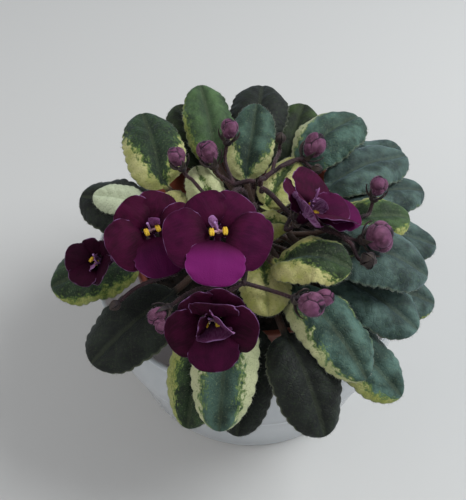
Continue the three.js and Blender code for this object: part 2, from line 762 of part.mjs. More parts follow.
// A calyx below a head: a small cup whose rim runs out into five pointed sepals. Round a young bud
// the sepals are still shut to a point.
function makeCalyx(head) {
  const back = -seat(head);
  const share = calyxShare(head);
  const radius = CALYX.radius * share;
  const count = 2 * CALYX.sepals;
  const ring = (onSepal, between = onSepal) =>
    Array.from({ length: count }, (_, i) => {
      const [reach, height] = i % 2 ? between : onSepal;
      const angle = (2 * Math.PI * i) / count;
      return new THREE.Vector3(reach * Math.cos(angle), reach * Math.sin(angle), height);
    });
  const low = ring([radius * 0.5, back - CALYX.depth * share]);
  if (head.kind === "young") {
    const size = head.size;
    const widest = ring([size, back + 0.3 * size], [0.8 * size, back + 0.3 * size]);
    const upper = ring([0.8 * size, back + 1.1 * size], [0.6 * size, back + 1.1 * size]);
    return skinned([low, widest, upper, ring([0.15 * size, back + 2 * size])]);
  }
  const length = CALYX.length * head.size;
  const tilt = radians(CALYX.tilt);
  const open = [radius + length * Math.sin(tilt), back - 0.6 + length * Math.cos(tilt)];
  const hold = head.pair ? CALYX.pairHold : CALYX.hold;
  const tip = head.kind === "bloom" ? open : [head.size + CALYX.room, hold * budHeight(head)];
  const notch = [radius * 0.9, back - 0.3];
  return skinned([low, ring([radius, back - 0.9]), ring(tip, notch), ring([radius * 0.7, back])]);
}

// A flower stalk with its pedicels and calyces. It rises from the crown and clears the leaves.
function makeStalk(spray, crownTop) {
  const foot = polar(spray.root, STALK.root, crownTop + GAP);
  const fork = polar(...spray.fork);
  const bend = foot.clone().lerp(fork, 0.35);
  bend.z = Math.max(fork.z, foot.z + 5);
  const main = smoothLine([foot, bend, fork], new THREE.Vector3(0, 0, 1));
  const mainLift = liftClear(main, STALK.foot);
  fork.z += mainLift(main.length);
  let stalk = rod(main, STALK.foot, STALK.fork, { lift: mainLift });
  const inward = main.at(main.length - 1);
  inward.z += mainLift(main.length - 1);
  for (const head of spray.heads) {
    const { position, turn, facing } = headFrame(head);
    const end = position.clone().addScaledVector(facing, -seat(head) - CALYX.depth * calyxShare(head) * 0.6);
    const before = end.clone().addScaledVector(facing, -0.25 * end.distanceTo(fork) - 1);
    const line = smoothLine([inward, before, end]);
    const lift = liftClear(line, STALK.pedicel, true);
    stalk = stalk.add(rod(line, STALK.pedicel * 1.15, STALK.pedicel, { lift }));
    const calyx = geometryOf(makeCalyx(head)).applyQuaternion(turn).translate(...position.toArray());
    stalk = stalk.add(solidOf(calyx));
  }
  return stalk;
}

addPiece("cup", makeCup(), "cup", 0.2, { transparent: true, opacity: 0.4 });
addPiece("pot", makePot(), "pot", 0.5);
addPiece("soil", makeSoil(), "soil", 1);

// Leaves lie over the pot's rim and over each other.
for (let azimuth = 0; azimuth < 360; azimuth += 1) {
  for (const radius of [POT.rimRadius, POT.rimRadius - 1]) cover(polar(azimuth, radius, POT_RIM));
  for (const radius of [CUP.rimRadius, CUP.bandRadius]) cover(polar(azimuth, radius, CUP.height));
}
let crownTop = 0;
LEAVES.forEach((row, order) => {
  const form = leafForm(row, order);
  const rootHeight = form.settle();
  crownTop = Math.max(crownTop, rootHeight + 2);
  addPiece("leaf_" + String(order + 1).padStart(2, "0"), skinned(form.rings()), row.colour, 0.7);
});
addPiece("crown", makeCrown(crownTop), "crown", 0.8);

const counts = { bloom: 0, bud: 0 };
SPRAYS.forEach((spray, order) => {
  const solids = { bloom: makeBloom, bud: makeBud };
  addPiece("stalk_" + (order + 1), makeStalk(spray, crownTop), "stalk", 0.8);
  for (const head of spray.heads) {
    if (!(head.kind in solids)) continue;
    counts[head.kind] += 1;
    const number = counts[head.kind];
    const { position, turn } = headFrame(head);
    const pieces = [addPiece(head.kind + "_" + number, solids[head.kind](head), head.kind)];
    if (head.kind === "bloom") pieces.push(addPiece("anthers_" + number, makeAnthers(head), "anther"));
    for (const piece of pieces) {
      piece.position.copy(position);
      piece.quaternion.copy(turn);
    }
  }
});

export default part;
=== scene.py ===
"""A potted african violet: the fine forms and the finishes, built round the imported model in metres, +Z up.

The leaves take their form from the frame, and the pot, cup, soil and crown their outer size. The flowers
repeat the places of the part's sprays. Forms are worked out in millimetres, and a mesh has them in metres.
"""
import json
import math
from typing import NamedTuple

import bpy
import numpy as np
from bpy.props import FloatProperty, FloatVectorProperty, IntProperty, PointerProperty
from mathutils import Matrix, Vector
from mathutils.bvhtree import BVHTree


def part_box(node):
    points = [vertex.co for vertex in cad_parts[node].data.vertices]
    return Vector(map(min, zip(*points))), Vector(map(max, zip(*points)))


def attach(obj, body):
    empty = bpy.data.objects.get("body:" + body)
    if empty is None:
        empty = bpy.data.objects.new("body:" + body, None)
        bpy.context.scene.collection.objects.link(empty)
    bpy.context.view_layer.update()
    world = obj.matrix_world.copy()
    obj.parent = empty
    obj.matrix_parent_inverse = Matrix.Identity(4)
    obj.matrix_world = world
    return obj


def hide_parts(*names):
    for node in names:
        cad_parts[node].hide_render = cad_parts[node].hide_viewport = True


bl_info = {
    "name": "Potted African Violet",
    "version": (1, 0, 0),
    "blender": (4, 5, 0),
    "location": "3D View > Sidebar > Violet",
    "description": "Builds a variegated african violet in bloom, in a nursery pot and a clear cup",
    "category": "Object",
}

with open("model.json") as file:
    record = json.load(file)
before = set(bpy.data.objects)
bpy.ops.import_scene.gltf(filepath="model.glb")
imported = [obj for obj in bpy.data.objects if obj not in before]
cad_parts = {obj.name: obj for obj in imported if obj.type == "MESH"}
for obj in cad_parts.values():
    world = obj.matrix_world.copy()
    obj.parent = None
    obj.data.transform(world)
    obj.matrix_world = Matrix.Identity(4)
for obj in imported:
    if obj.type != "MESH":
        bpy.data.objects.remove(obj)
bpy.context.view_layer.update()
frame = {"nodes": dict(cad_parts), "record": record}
MM = 0.001
BODY = "root"

LEAF_COUNT = 32
RING = 10  # points in one ring of a leaf's solid
PETIOLE_RINGS = 3  # rings before the blade's first one
ROUND = 2.5  # the blade's outline: 2 for an ellipse, more for blunter ends
FULLNESS = 0.95
BELLY = 0.34
SAG = 0.1
SOLID_TOOTH = 0.05  # how far every second ring of the solid is drawn in

# Stalks, calyces and the throats of the blooms, in millimetres, as in the part.
STALK = {"root": 2.4, "foot": 0.95, "fork": 0.85, "pedicel": 0.6, "clear": 0.9, "ease": 7}
CALYX = {"radius": 1.7, "depth": 2, "sepals": 5}
TUBE = {"throat": 2.1, "depth": 3}
GAP = 0.3
SOIL_TOP = 63.0
SEEDS = {"leaf": 100, "bud": 300, "stalk": 500, "soil": 700}
HAIR_RADII = {"leaf": 0.045, "bud": 0.03, "stalk": 0.035}


class Petal(NamedTuple):
    """A petal of a bloom of size 1: its turn from the top, length, width, lean inwards and layer.

    glow is its share of the lighter magenta painted where light falls, and pale its share of the pale one.
    """

    turn: float
    length: float
    width: float
    lean: float
    layer: float
    glow: float
    pale: float = 0


class Head(NamedTuple):
    """A bloom, a bud or a young bud.

    at is its azimuth, reach and height, and faces the azimuth and elevation that it looks to. open is the
    angle of a bloom's petals from its axis, spin turns them, curl shuts each by an angle, glow is
    painted light on the lower ones and shade darkens all. A bud can be a pair, or layered when it is about to
    open.
    """

    kind: str
    at: tuple
    faces: tuple
    size: float
    open: float = 0
    spin: float = 0
    glow: float = 0
    shade: float = 0
    curl: tuple = (0, 0, 0, 0, 0)
    pair: bool = False
    layered: bool = False


class Spray(NamedTuple):
    """A flower stalk: the azimuth of its foot, the azimuth, reach and height of its fork, and its heads."""

    root: float
    fork: tuple
    heads: tuple


PETALS = (
    Petal(36, 12.5, 15, -5, 0, 0.1),
    Petal(-34, 12, 14.5, -5, 0.9, 0.08),
    Petal(106, 15.5, 18.5, 0, 1.8, 0.14),
    Petal(-107, 15.5, 18.5, 0, 1.8, 0.1),
    Petal(182, 16, 18, 6, 2.7, 1),
)
# The inner petals of each bloom, by its number: petals in little, in the throat, some of them pale.
INNER_PETALS = {
    1: (Petal(30, 4.5, 4, 40, 3.2, 0.6, 0.3),),
    2: (Petal(60, 7.5, 6, 26, 3.2, 0.3, 0.55), Petal(128, 8.5, 7, 22, 3.3, 0.3, 0.8)),
    3: (
        Petal(12, 9.5, 17, 4, 3.2, 0),
        Petal(56, 9.5, 12, 34, 3.4, 0.2, 0.15),
        Petal(170, 7, 13, 46, 3.5, 0.2, 0.12),
        Petal(-72, 7.5, 9, 38, 3.3, 0),
    ),
    4: (Petal(-34, 4.6, 2.6, 30, 3.3, 0.9, 0.8),),
    5: (
        Petal(176, 11.5, 14.5, 14, 3.4, 0.15),
        Petal(40, 7, 7, 44, 3.5, 0.5, 0.6),
        Petal(-60, 6, 6, 48, 3.6, 0.5, 0.3),
    ),
}
SPRAYS = (
    Spray(215, (-126, 44, 92), (
        Head("bloom", (-146, 40.5, 98), (-62, 50), 0.95, open=76, spin=4, glow=0.3),
        Head("bloom", (-150.5, 57.2, 90), (-126, 44), 0.64, open=50, spin=-6, shade=0.6),
        Head("young", (-137, 60, 84), (-140, -15), 1.4),
    )),
    Spray(275, (-96, 42, 95), (
        Head("bloom", (-103.8, 55.5, 96), (-92, 22), 0.88, open=64, spin=-6, glow=0.1, shade=0.25),
        Head("bud", (-76, 49, 95), (-40, 20), 3.9, pair=True),
        Head("bud", (-120, 55, 90.5), (-150, -20), 2.8, pair=True),
    )),
    Spray(160, (-138, 17, 97), (
        Head("bloom", (-112, 32, 105), (-84, 55), 1, open=84, spin=8, glow=1),
        Head("bud", (166, 26, 99), (140, 60), 3.2),
    )),
    Spray(100, (160, 8, 93), (
        Head("bud", (149, 17, 98), (135, 60), 3.8),
        Head("bud", (121, 18, 103), (70, 60), 3.2),
    )),
    Spray(40, (40, 8, 93), (
        Head("young", (65, 22, 99), (80, 75), 1.6),
        Head("bud", (32, 21, 99), (30, 45), 4.1),
        Head("young", (18, 22, 97), (-30, 20), 1.5),
    )),
    Spray(-20, (-45, 18, 93), (
        Head("bloom", (-55, 26, 103.2), (15, 47), 1, open=64, glow=0.35, curl=(0, 12, 0, 18, 0)),
        Head("bud", (-9, 40, 97), (60, 60), 3.1),
        Head("bud", (-39, 43, 98.8), (-10, 25), 5.2, layered=True),
        Head("young", (-48.2, 48.5, 99.5), (-60, 50), 2.2),
    )),
)


def paint(red, green, blue):
    """A colour seen on a screen, 0 to 255, as the linear colour that a shader takes."""
    linear = []
    for level in (red, green, blue):
        share = level / 255
        linear.append(share / 12.92 if share <= 0.04045 else ((share + 0.055) / 1.055) ** 2.4)
    return (*linear, 1.0)


# ---------------------------------------------------------------- shader nodes


class Value:
    """One output of a shader node. Arithmetic on it adds the Math nodes that it stands for."""

    def __init__(self, nodes, socket):
        self.nodes = nodes
        self.socket = socket

    def __add__(self, other):
        return self.nodes.math("ADD", self, other)

    def __radd__(self, other):
        return self.nodes.math("ADD", other, self)

    def __sub__(self, other):
        return self.nodes.math("SUBTRACT", self, other)

    def __rsub__(self, other):
        return self.nodes.math("SUBTRACT", other, self)

    def __mul__(self, other):
        return self.nodes.math("MULTIPLY", self, other)

    def __rmul__(self, other):
        return self.nodes.math("MULTIPLY", other, self)

    def __abs__(self):
        return self.nodes.math("ABSOLUTE", self, 0.0)


class Nodes:
    """A material and its node tree, built by calls."""

    def __init__(self, name):
        self.material = bpy.data.materials.new(name)
        self.material.use_nodes = True
        self.tree = self.material.node_tree
        self.tree.nodes.clear()

    def add(self, kind, options=None, inputs=None, output=0):
        """One output of a new node, with its options set first and then its sockets' values or links."""
        node = self.tree.nodes.new(kind)
        for name, value in (options or {}).items():
            setattr(node, name, value)
        for name, value in (inputs or {}).items():
            if isinstance(value, Value):
                self.tree.links.new(value.socket, node.inputs[name])
            else:
                node.inputs[name].default_value = value
        return Value(self, node.outputs[output]) if node.outputs else None

    def math(self, operation, first, second):
        return self.add("ShaderNodeMath", {"operation": operation}, {0: first, 1: second})

    def attribute(self, name):
        return self.add("ShaderNodeAttribute", {"attribute_name": name}, output="Fac")

    def attributes(self, *names):
        return [self.attribute(name) for name in names]

    def place(self):
        return self.add("ShaderNodeTexCoord", output="Object")

    def vector(self, x, y, z):
        return self.add("ShaderNodeCombineXYZ", inputs={"X": x, "Y": y, "Z": z})

    def noise(self, vector, scale, detail, roughness):
        inputs = {"Vector": vector, "Scale": scale, "Detail": detail, "Roughness": roughness}
        return self.add("ShaderNodeTexNoise", inputs=inputs)

    def cells(self, vector, scale):
        """How far a place is from the nearest edge between cells."""
        options = {"feature": "DISTANCE_TO_EDGE"}
        return self.add("ShaderNodeTexVoronoi", options, {"Vector": vector, "Scale": scale})

    def step(self, value, low, high):
        """0 below low and 1 above high, with a smooth rise between; low may be the larger."""
        options = {"interpolation_type": "SMOOTHSTEP"}
        return self.add("ShaderNodeMapRange", options, {"Value": value, "From Min": low, "From Max": high})

    def mix(self, share, first, second):
        """The first colour at share 0, and the second at 1."""
        inputs = {0: share, 6: first, 7: second}
        return self.add("ShaderNodeMix", {"data_type": "RGBA"}, inputs, output=2)

    def grade(self, value, low, high, first, second):
        """The first paint where a value is below low, and the second where it is above high."""
        return self.mix(self.step(value, low, high), paint(*first), paint(*second))

    def bump(self, height, distance, strength):
        """A bumpy surface, from a height and the distance in millimetres that a height of 1 stands for."""
        inputs = {"Height": height, "Distance": distance * MM, "Strength": strength}
        return self.add("ShaderNodeBump", inputs=inputs)

    def finish(self, **sockets):
        """The Principled shader with the given sockets, as the surface."""
        inputs = {name.replace("_", " "): value for name, value in sockets.items()}
        shader = self.add("ShaderNodeBsdfPrincipled", inputs=inputs)
        self.add("ShaderNodeOutputMaterial", inputs={"Surface": shader})
        return self.material


# ---------------------------------------------------------------- meshes


def slot_of(node):
    """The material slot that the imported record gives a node."""
    return next(row["material_slot"] for row in frame["record"]["subparts"] if row["node"] == node)


def added(name, data):
    """A new object in the scene."""
    obj = bpy.data.objects.new(name, data)
    bpy.context.scene.collection.objects.link(obj)
    return obj


class Skin:
    """Points, faces and values at the points, gathered in millimetres for one mesh."""

    def __init__(self):
        self.points = []
        self.faces = []
        self.values = {}
        self.count = 0

    def add(self, points, faces, **values):
        """Adds a shape with its values; what other shapes have and this one doesn't is 0 on it."""
        points = np.asarray(points, float).reshape(-1, 3)
        self.faces.extend(tuple(int(corner) + self.count for corner in face) for face in faces)
        self.points.append(points)
        for name in set(self.values) | set(values):
            rows = self.values.setdefault(name, [np.zeros(self.count)] if self.count else [])
            rows.append(np.broadcast_to(np.asarray(values.get(name, 0.0), float).reshape(-1), (len(points),)))
        self.count += len(points)

    def mesh(self, name):
        mesh = bpy.data.meshes.new(name)
        mesh.from_pydata((np.concatenate(self.points) * MM).tolist(), [], self.faces)
        return mesh

    def piece(self, name, node, material):
        """The smooth mesh object that stands in for a node of the part."""
        mesh = self.mesh(name)
        for value, rows in self.values.items():
            layer = mesh.attributes.new(value, "FLOAT", "POINT")
            layer.data.foreach_set("value", np.concatenate(rows).astype(np.float32))
        mesh.polygons.foreach_set("use_smooth", [True] * len(mesh.polygons))
        mesh.materials.append(material)
        mesh.update()
        obj = added(name, mesh)
        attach(obj, BODY)
        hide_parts(node)
        return obj


def grid_faces(rows, columns, closed=False, flip=False):
    """The quads of a sheet of rows by columns points. A closed sheet joins its last column to its first."""
    faces = []
    for i in range(rows - 1):
        for j in range(columns if closed else columns - 1):
            k = (j + 1) % columns
            quad = (i * columns + j, i * columns + k, (i + 1) * columns + k, (i + 1) * columns + j)
            faces.append(quad[::-1] if flip else quad)
    return faces


def slab(sheets):
    """Points and faces of a closed thin piece between an upper and a lower sheet of points."""
    rows, columns = sheets[0].shape[:2]
    lower = rows * columns
    faces = grid_faces(rows, columns)
    faces += [tuple(corner + lower for corner in face) for face in grid_faces(rows, columns, flip=True)]
    for i in range(rows - 1):
        for j, turned in ((0, True), (columns - 1, False)):
            near, far = i * columns + j, (i + 1) * columns + j
            side = (near, near + lower, far + lower, far)
            faces.append(side[::-1] if turned else side)
    for j in range(columns - 1):
        for row, turned in ((0, False), (rows - 1, True)):
            left, right = row * columns + j, row * columns + j + 1
            side = (left, left + lower, right + lower, right)
            faces.append(side[::-1] if turned else side)
    return np.concatenate([sheet.reshape(-1, 3) for sheet in sheets]), faces


def twice(values):
    """Values over one sheet of a slab, for both."""
    return np.tile(values.ravel(), 2)


def capped_faces(rings, segments):
    """The faces of rings of points, with the two points that close their ends after them."""
    faces = grid_faces(rings, segments, closed=True)
    first, end = rings * segments, (rings - 1) * segments
    for j in range(segments):
        k = (j + 1) % segments
        faces.append((first, k, j))
        faces.append((first + 1, end + j, end + k))
    return faces


def lathe(profile, segments):
    """Points and faces of a turned piece. The profile starts and ends on the axis."""
    angles = np.linspace(0, 2 * math.pi, segments, endpoint=False)
    inner = np.array(profile[1:-1], float)
    ring = np.stack([np.cos(angles), np.sin(angles)], axis=1)
    points = [(r * c, r * s, z) for r, z in inner for c, s in ring]
    points += [(0, 0, profile[0][1]), (0, 0, profile[-1][1])]
    return points, capped_faces(len(inner), segments)


def unit(vectors):
    return vectors / np.maximum(np.linalg.norm(vectors, axis=-1, keepdims=True), 1e-9)


def curve_through(knots, values, at, first=None):
    """The values at some places on the smooth curve through the values at the knots.

    first is its slope at the first knot, where that isn't left to the curve.
    """
    spans = np.diff(knots)
    chords = np.diff(values, axis=0) / spans[:, None]
    before, after = spans[:-1, None], spans[1:, None]
    inner = (chords[:-1] * after + chords[1:] * before) / (before + after)
    slopes = np.vstack([chords[:1] if first is None else [first], inner, chords[-1:]])
    i = np.clip(np.searchsorted(knots, at, side="right") - 1, 0, len(spans) - 1)
    span = spans[i][:, None]
    t = np.clip((at - knots[i]) / spans[i], 0, 1)[:, None]
    t2, t3 = t * t, t * t * t
    near = values[i] * (2 * t3 - 3 * t2 + 1) + slopes[i] * (t3 - 2 * t2 + t) * span
    return near + values[i + 1] * (3 * t2 - 2 * t3) + slopes[i + 1] * (t3 - t2) * span


def distances_along(points):
    return np.concatenate([[0], np.cumsum(np.linalg.norm(np.diff(points, axis=0), axis=1))])


def line_through(points, count, first=None):
    """Points along the smooth line that the part runs through some places, and how far along it they lie."""
    points = np.array(points, float)
    knots = distances_along(points)
    at = np.linspace(0, knots[-1], count)
    return curve_through(knots, points, at, first), at


def smooth_share(low, high, value):
    t = np.clip((value - low) / (high - low), 0, 1)
    return t * t * (3 - 2 * t)


def polar(azimuth, reach, height):
    angle = math.radians(azimuth)
    return np.array([reach * math.cos(angle), reach * math.sin(angle), height])


def corners(node):
    """The lowest and the highest corner of a node's box in millimetres."""
    return (np.array(corner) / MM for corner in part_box(node))


def hairs(skin, roots, directions, length, radius, rng, **values):
    """Adds fine tapered hairs that stand on the roots, each a slim three-sided spike with a bend."""
    directions = unit(directions + rng.normal(0, 0.28, directions.shape))
    reach = (length * rng.uniform(0.55, 1.1, len(roots)))[:, None]
    across = unit(np.cross(directions, rng.normal(0, 1, directions.shape)))
    other = np.cross(directions, across)
    points = []
    for turn in (2 * math.pi * corner / 3 for corner in range(3)):
        points.append(roots - 0.05 * directions + radius * (math.cos(turn) * across + math.sin(turn) * other))
    points.append(roots + reach * directions + 0.18 * reach * across)
    sides = np.array([(0, 1, 3), (1, 2, 3), (2, 0, 3), (2, 1, 0)])
    faces = (4 * np.arange(len(roots))[:, None, None] + sides).reshape(-1, 3)
    skin.add(np.stack(points, axis=1), faces.tolist(), **values)


# ---------------------------------------------------------------- settings


def colour_setting(name, description, *levels):
    default = paint(*levels)
    return FloatVectorProperty(name=name, description=description, size=4, subtype="COLOR", default=default)


def length_setting(name, description, millimetres):
    return FloatProperty(name=name, description=description, default=millimetres * MM, unit="LENGTH")


class LeafSettings(bpy.types.PropertyGroup):
    """The leaves' fine form and colours."""

    teeth: IntProperty(name="Teeth", description="Scallops along each margin", default=15, min=0)
    veins: IntProperty(name="Veins", description="Side veins on each half of a leaf", default=6, min=1)
    quilt: length_setting("Quilting", "How far the blade stands proud between its veins", 0.4)
    hair: length_setting("Hair length", "Length of the hairs along margins", 0.9)
    fresh: colour_setting("Fresh green", "The lighter green between the veins", 92, 128, 58)
    cream: colour_setting("Cream", "The pale variegation", 196, 190, 128)


class FlowerSettings(bpy.types.PropertyGroup):
    """Petals, buds and stalks."""

    petal: colour_setting("Petal", "The petals' velvet purple", 64, 13, 39)
    # Painted light: the brighter magenta laid on the lower petals where light falls on them.
    glow: colour_setting("Lit petal", "The brighter magenta of the lower petals", 126, 34, 108)
    edge: colour_setting("Petal edge", "The thin pale edge", 158, 116, 166)
    thickness: length_setting("Petal thickness", "Thickness of a petal", 0.35)
    hair: length_setting("Hair length", "Length of the hairs on stalks", 0.8)


class PotSettings(bpy.types.PropertyGroup):
    """The pot and the cup."""

    clay: colour_setting("Pot", "The pot's plastic", 128, 62, 46)
    smooth: IntProperty(name="Segments", description="Segments round the pot and cup", default=144, min=24)
    flutes: IntProperty(name="Flutes", description="Faint ribs inside the cup's wall", default=90, min=0)
    milk: colour_setting("Cup", "The cup's clear plastic", 232, 237, 240)


class StageSettings(bpy.types.PropertyGroup):
    """The floor and the light."""

    floor: colour_setting("Floor", "The plain pale floor", 206, 205, 202)
    key: FloatProperty(name="Key light", description="Power of the soft light", default=6.0, unit="POWER")
    fill: FloatProperty(name="Fill", description="Brightness of the surroundings", default=0.45)


def settings(name):
    return getattr(bpy.context.scene, "violet_" + name)


# ---------------------------------------------------------------- leaves


def leaf_name(number):
    return f"leaf_{number:02d}"


def solid_points(node):
    """A node's distinct points in millimetres, and for each the points that share an edge with it."""
    mesh = frame["nodes"][node].data
    places = np.array([vertex.co for vertex in mesh.vertices]) / MM
    _, first, same = np.unique(np.round(places, 2), axis=0, return_index=True, return_inverse=True)
    same = same.ravel()
    beside = [set() for _ in first]
    for edge in mesh.edges:
        near, far = (int(same[corner]) for corner in edge.vertices)
        if near != far:
            beside[near].add(far)
            beside[far].add(near)
    return places[first], beside


class LeafForm:
    """The form of one leaf, read from the ten-point rings of its solid, in millimetres.

    A place on it is a distance along its midrib and a column across it from -1 to 1.
    """

    def __init__(self, number):
        self.order = number - 1
        rings = self._rings(*solid_points(leaf_name(number)))
        middles, sides, ups, halves = [], [], [], []
        centres = [ring.mean(axis=0) for ring in rings]
        last = len(rings) - 1
        for k, ring in enumerate(rings):
            along = unit(centres[min(k + 1, last)] - centres[max(k - 1, 0)])
            side = unit(np.array([along[1], -along[0], 0.0]))
            for _ in range(2):
                pairs = ring[np.argsort(ring @ side)].reshape(RING // 2, 2, 3)
                side = unit(pairs[-1].mean(axis=0) - pairs[0].mean(axis=0))
            middles.append(pairs[RING // 4].mean(axis=0))
            sides.append(side)
            ups.append(np.cross(side, along))
            halves.append(np.linalg.norm(pairs[-1].mean(axis=0) - pairs[0].mean(axis=0)) / 2)
        middles = np.array(middles)
        arcs = distances_along(middles)
        steps = last - PETIOLE_RINGS
        shares = (1 - np.cos(np.pi * np.arange(steps + 1) / steps)) / 2
        self.start = arcs[PETIOLE_RINGS]
        self.length = arcs[-1] - self.start
        self.knots = np.concatenate([arcs[:PETIOLE_RINGS], self.start + self.length * shares])
        self.middles, self.sides, self.ups = middles, np.array(sides), np.array(ups)
        drawn = 1 - SOLID_TOOTH * (np.arange(steps + 1) % 2)
        wide = np.array(halves[PETIOLE_RINGS:]) / drawn
        inner = slice(2, steps - 1)
        self.width = 2 * float(np.mean(wide[inner] / self.outline(shares[inner])))

    @staticmethod
    def _rings(places, beside):
        """The rings of the solid's points, from the petiole's foot to the tip."""
        caps = [i for i, near in enumerate(beside) if len(near) >= RING]
        start = min(caps, key=lambda i: math.hypot(*places[i][:2]))
        near = np.argsort(np.linalg.norm(places - places[start], axis=1))[:RING]
        layer = {int(i) for i in near}
        seen, rings = set(layer), []
        while layer:
            rings.append(places[sorted(layer)])
            layer = {j for i in layer for j in beside[i]} - seen
            seen |= layer
        return rings

    @staticmethod
    def outline(share):
        """The half width at a share of the blade's length, as a share of the greatest."""
        away = np.abs(2 * np.clip(share, 0, 1) ** FULLNESS - 1)
        return np.sqrt(np.maximum(1 - away**ROUND, 0))

    def frame_at(self, distances):
        """The midrib's points and the directions to the side and up, at some distances."""
        knots = (self.middles, self.sides, self.ups)
        middle, side, up = (curve_through(self.knots, rows, distances) for rows in knots)
        return middle, unit(side), unit(up)


PETIOLE_RADIUS = 1.25
BLADE_ROWS, PETIOLE_ROWS, COLUMNS = 97, 16, 25
WAVE, WAVES = 0.5, 2.5
SLANT = 0.27  # how far a side vein runs towards the tip on its way to the margin, as a share of the length
TOOTH, FRILL = 0.06, 0.22  # depth of the scallops as a share of the half width, and their rise
GROOVE_WIDTH, GROOVE_DEPTH = 1.1, 0.35  # of the groove over the midrib
BLADE_HALF, BLADE_THINNING = 0.42, 0.26  # half the thickness at the midrib, and its loss to the margin
MARGIN_HAIRS, PETIOLE_HAIRS = 110, 90  # the first number is for each margin


def leaf_sheets(form, values, rng):
    """The two sheets of one leaf, their shares along and across, and its directions to the side and up."""
    theta = np.linspace(0, np.pi, BLADE_ROWS)
    share = (1 - np.cos(theta)) / 2
    petiole = np.linspace(0, 1, PETIOLE_ROWS, endpoint=False)
    distances = np.concatenate([petiole * form.start, form.start + share * form.length])
    along = np.concatenate([petiole - 1, share])[:, None]
    turn = np.concatenate([np.zeros(PETIOLE_ROWS), theta])[:, None]
    across = np.sin(np.linspace(-1, 1, COLUMNS) * np.pi / 2)[None, :]
    out = np.abs(across)

    blade = smooth_share(0, 0.09, along)
    phase = rng.uniform(0, 0.5, 2)
    notch = 1 - np.abs(np.sin(values.teeth * turn + np.where(across < 0, *phase))) ** 0.7
    tooth = TOOTH * notch * blade * out**4
    formed = form.width / 2 * form.outline(along) * (along > 0)
    radius = PETIOLE_RADIUS * np.interp(along, [-1, 0, 0.5, 1], [0.8, 1, 0.5, 0.2])
    half = np.maximum(formed * 0.99, np.where(along < 0.5, radius, 0.12))
    x = across * half * (1 - tooth)

    bulge = BELLY * (out - out**2) - SAG * out**2
    wave = WAVE * out**3 * np.sin(2 * np.pi * WAVES * along + form.order + np.sign(across) * out)
    frill = FRILL * out**4 * np.sin(values.teeth * turn * 0.5 + 3 * phase[0] + across)
    ribs = values.veins * (along - SLANT * out)
    between = 0.5 - 0.5 * np.cos(2 * np.pi * ribs)
    middle_groove = 1 - np.exp(-((x / GROOVE_WIDTH) ** 2))
    relief = values.quilt / MM * between * middle_groove * (1 - out**3) * smooth_share(0, 0.12, along)
    relief = relief * smooth_share(1, 0.85, along) - GROOVE_DEPTH * (1 - middle_groove) * blade
    surface = blade * (2 * half * bulge + (wave + frill) * half * 2 / form.width + relief)

    round_part = np.sqrt(np.clip(1 - (x / radius) ** 2, 0, 1)) * radius
    plate = blade * (BLADE_HALF - BLADE_THINNING * out**3)
    top = surface + np.maximum(plate, round_part * (1 - blade))
    below = surface - np.maximum(plate, round_part * (1 - 0.45 * blade))

    middle, side, up = form.frame_at(distances)
    base = middle[:, None, :] + x[..., None] * side[:, None, :]
    sheets = [base + rise[..., None] * up[:, None, :] for rise in (top, below)]
    return sheets, np.broadcast_to(along, x.shape), np.broadcast_to(across, x.shape), (side, up)


def leaf_skin(number, values):
    """One fine leaf with the hairs along its margins and petiole."""
    rng = np.random.default_rng(SEEDS["leaf"] + number)
    form = LeafForm(number)
    sheets, along, across, (side, up) = leaf_sheets(form, values, rng)
    rows = len(along)
    chance = rng.uniform()
    pattern = {name: LEAF_PATTERNS.get(number, {}).get(name, 0) for name in PATTERN}
    skin = Skin()
    skin.add(
        *slab(sheets),
        along=twice(along),
        across=twice(across),
        under=np.repeat([0.0, 1.0], along.size),
        chance=chance,
        hair=0.0,
        **pattern,
    )
    between = (sheets[0] + sheets[1]) / 2
    spine = between[:, COLUMNS // 2]
    heading = unit(np.gradient(spine, axis=0))
    roots, directions = [], []
    for edge, sign in ((between[:, 0], -1), (between[:, -1], 1)):
        starts = rng.integers(PETIOLE_ROWS, rows - 1, MARGIN_HAIRS)
        for row, share in zip(starts, rng.uniform(size=MARGIN_HAIRS)):
            roots.append(edge[row] * (1 - share) + edge[row + 1] * share)
            forward = along[row, 0] ** 3
            directions.append(sign * side[row] * (1 - 0.8 * forward) + heading[row] * (0.35 + forward))
    for row in rng.integers(0, PETIOLE_ROWS, PETIOLE_HAIRS):
        angle = rng.uniform(0, 2 * math.pi)
        away = math.cos(angle) * side[row] + math.sin(angle) * up[row]
        roots.append(spine[row] + heading[row] * rng.uniform(0, 1.5) + away * 0.95)
        directions.append(away)
    roots, directions = np.array(roots), np.array(directions)
    radius = HAIR_RADII["leaf"]
    hairs(skin, roots, directions, values.hair / MM, radius, rng, along=0.5, chance=chance, hair=1.0)
    return skin


class Tone(NamedTuple):
    """How one of the leaf finishes looks.

    low and high are how far out, as a share of the half width, the cream begins and is full. speckle is how
    far it breaks up, fleck how light the specks are, and vein how pale the ribs. deep and lit are the greens.
    """

    low: float
    high: float
    speckle: float
    fleck: float
    vein: float
    deep: tuple
    lit: tuple
    sheen: float = 0.2


LEAF_TONES = {
    "leaf_variegated": Tone(0.45, 0.95, 0.8, 0.45, 0.08, (20, 33, 19), (46, 68, 41)),
    "leaf_dark": Tone(1.0, 1.5, 0.4, 0.12, 0.06, (15, 18, 15), (31, 37, 30), sheen=0.1),
    "leaf_blue_green": Tone(0.95, 1.4, 0.5, 0.22, 0.08, (38, 53, 50), (86, 109, 102), sheen=0.45),
    "leaf_green": Tone(0.6, 1.1, 0.8, 0.35, 0.1, (46, 64, 42), (80, 108, 66)),
    "leaf_cream": Tone(0.1, 0.45, 0.7, 0.5, 0.12, (38, 58, 20), (96, 118, 44)),
}
PATTERN = ("lean", "base", "more", "white", "cool")
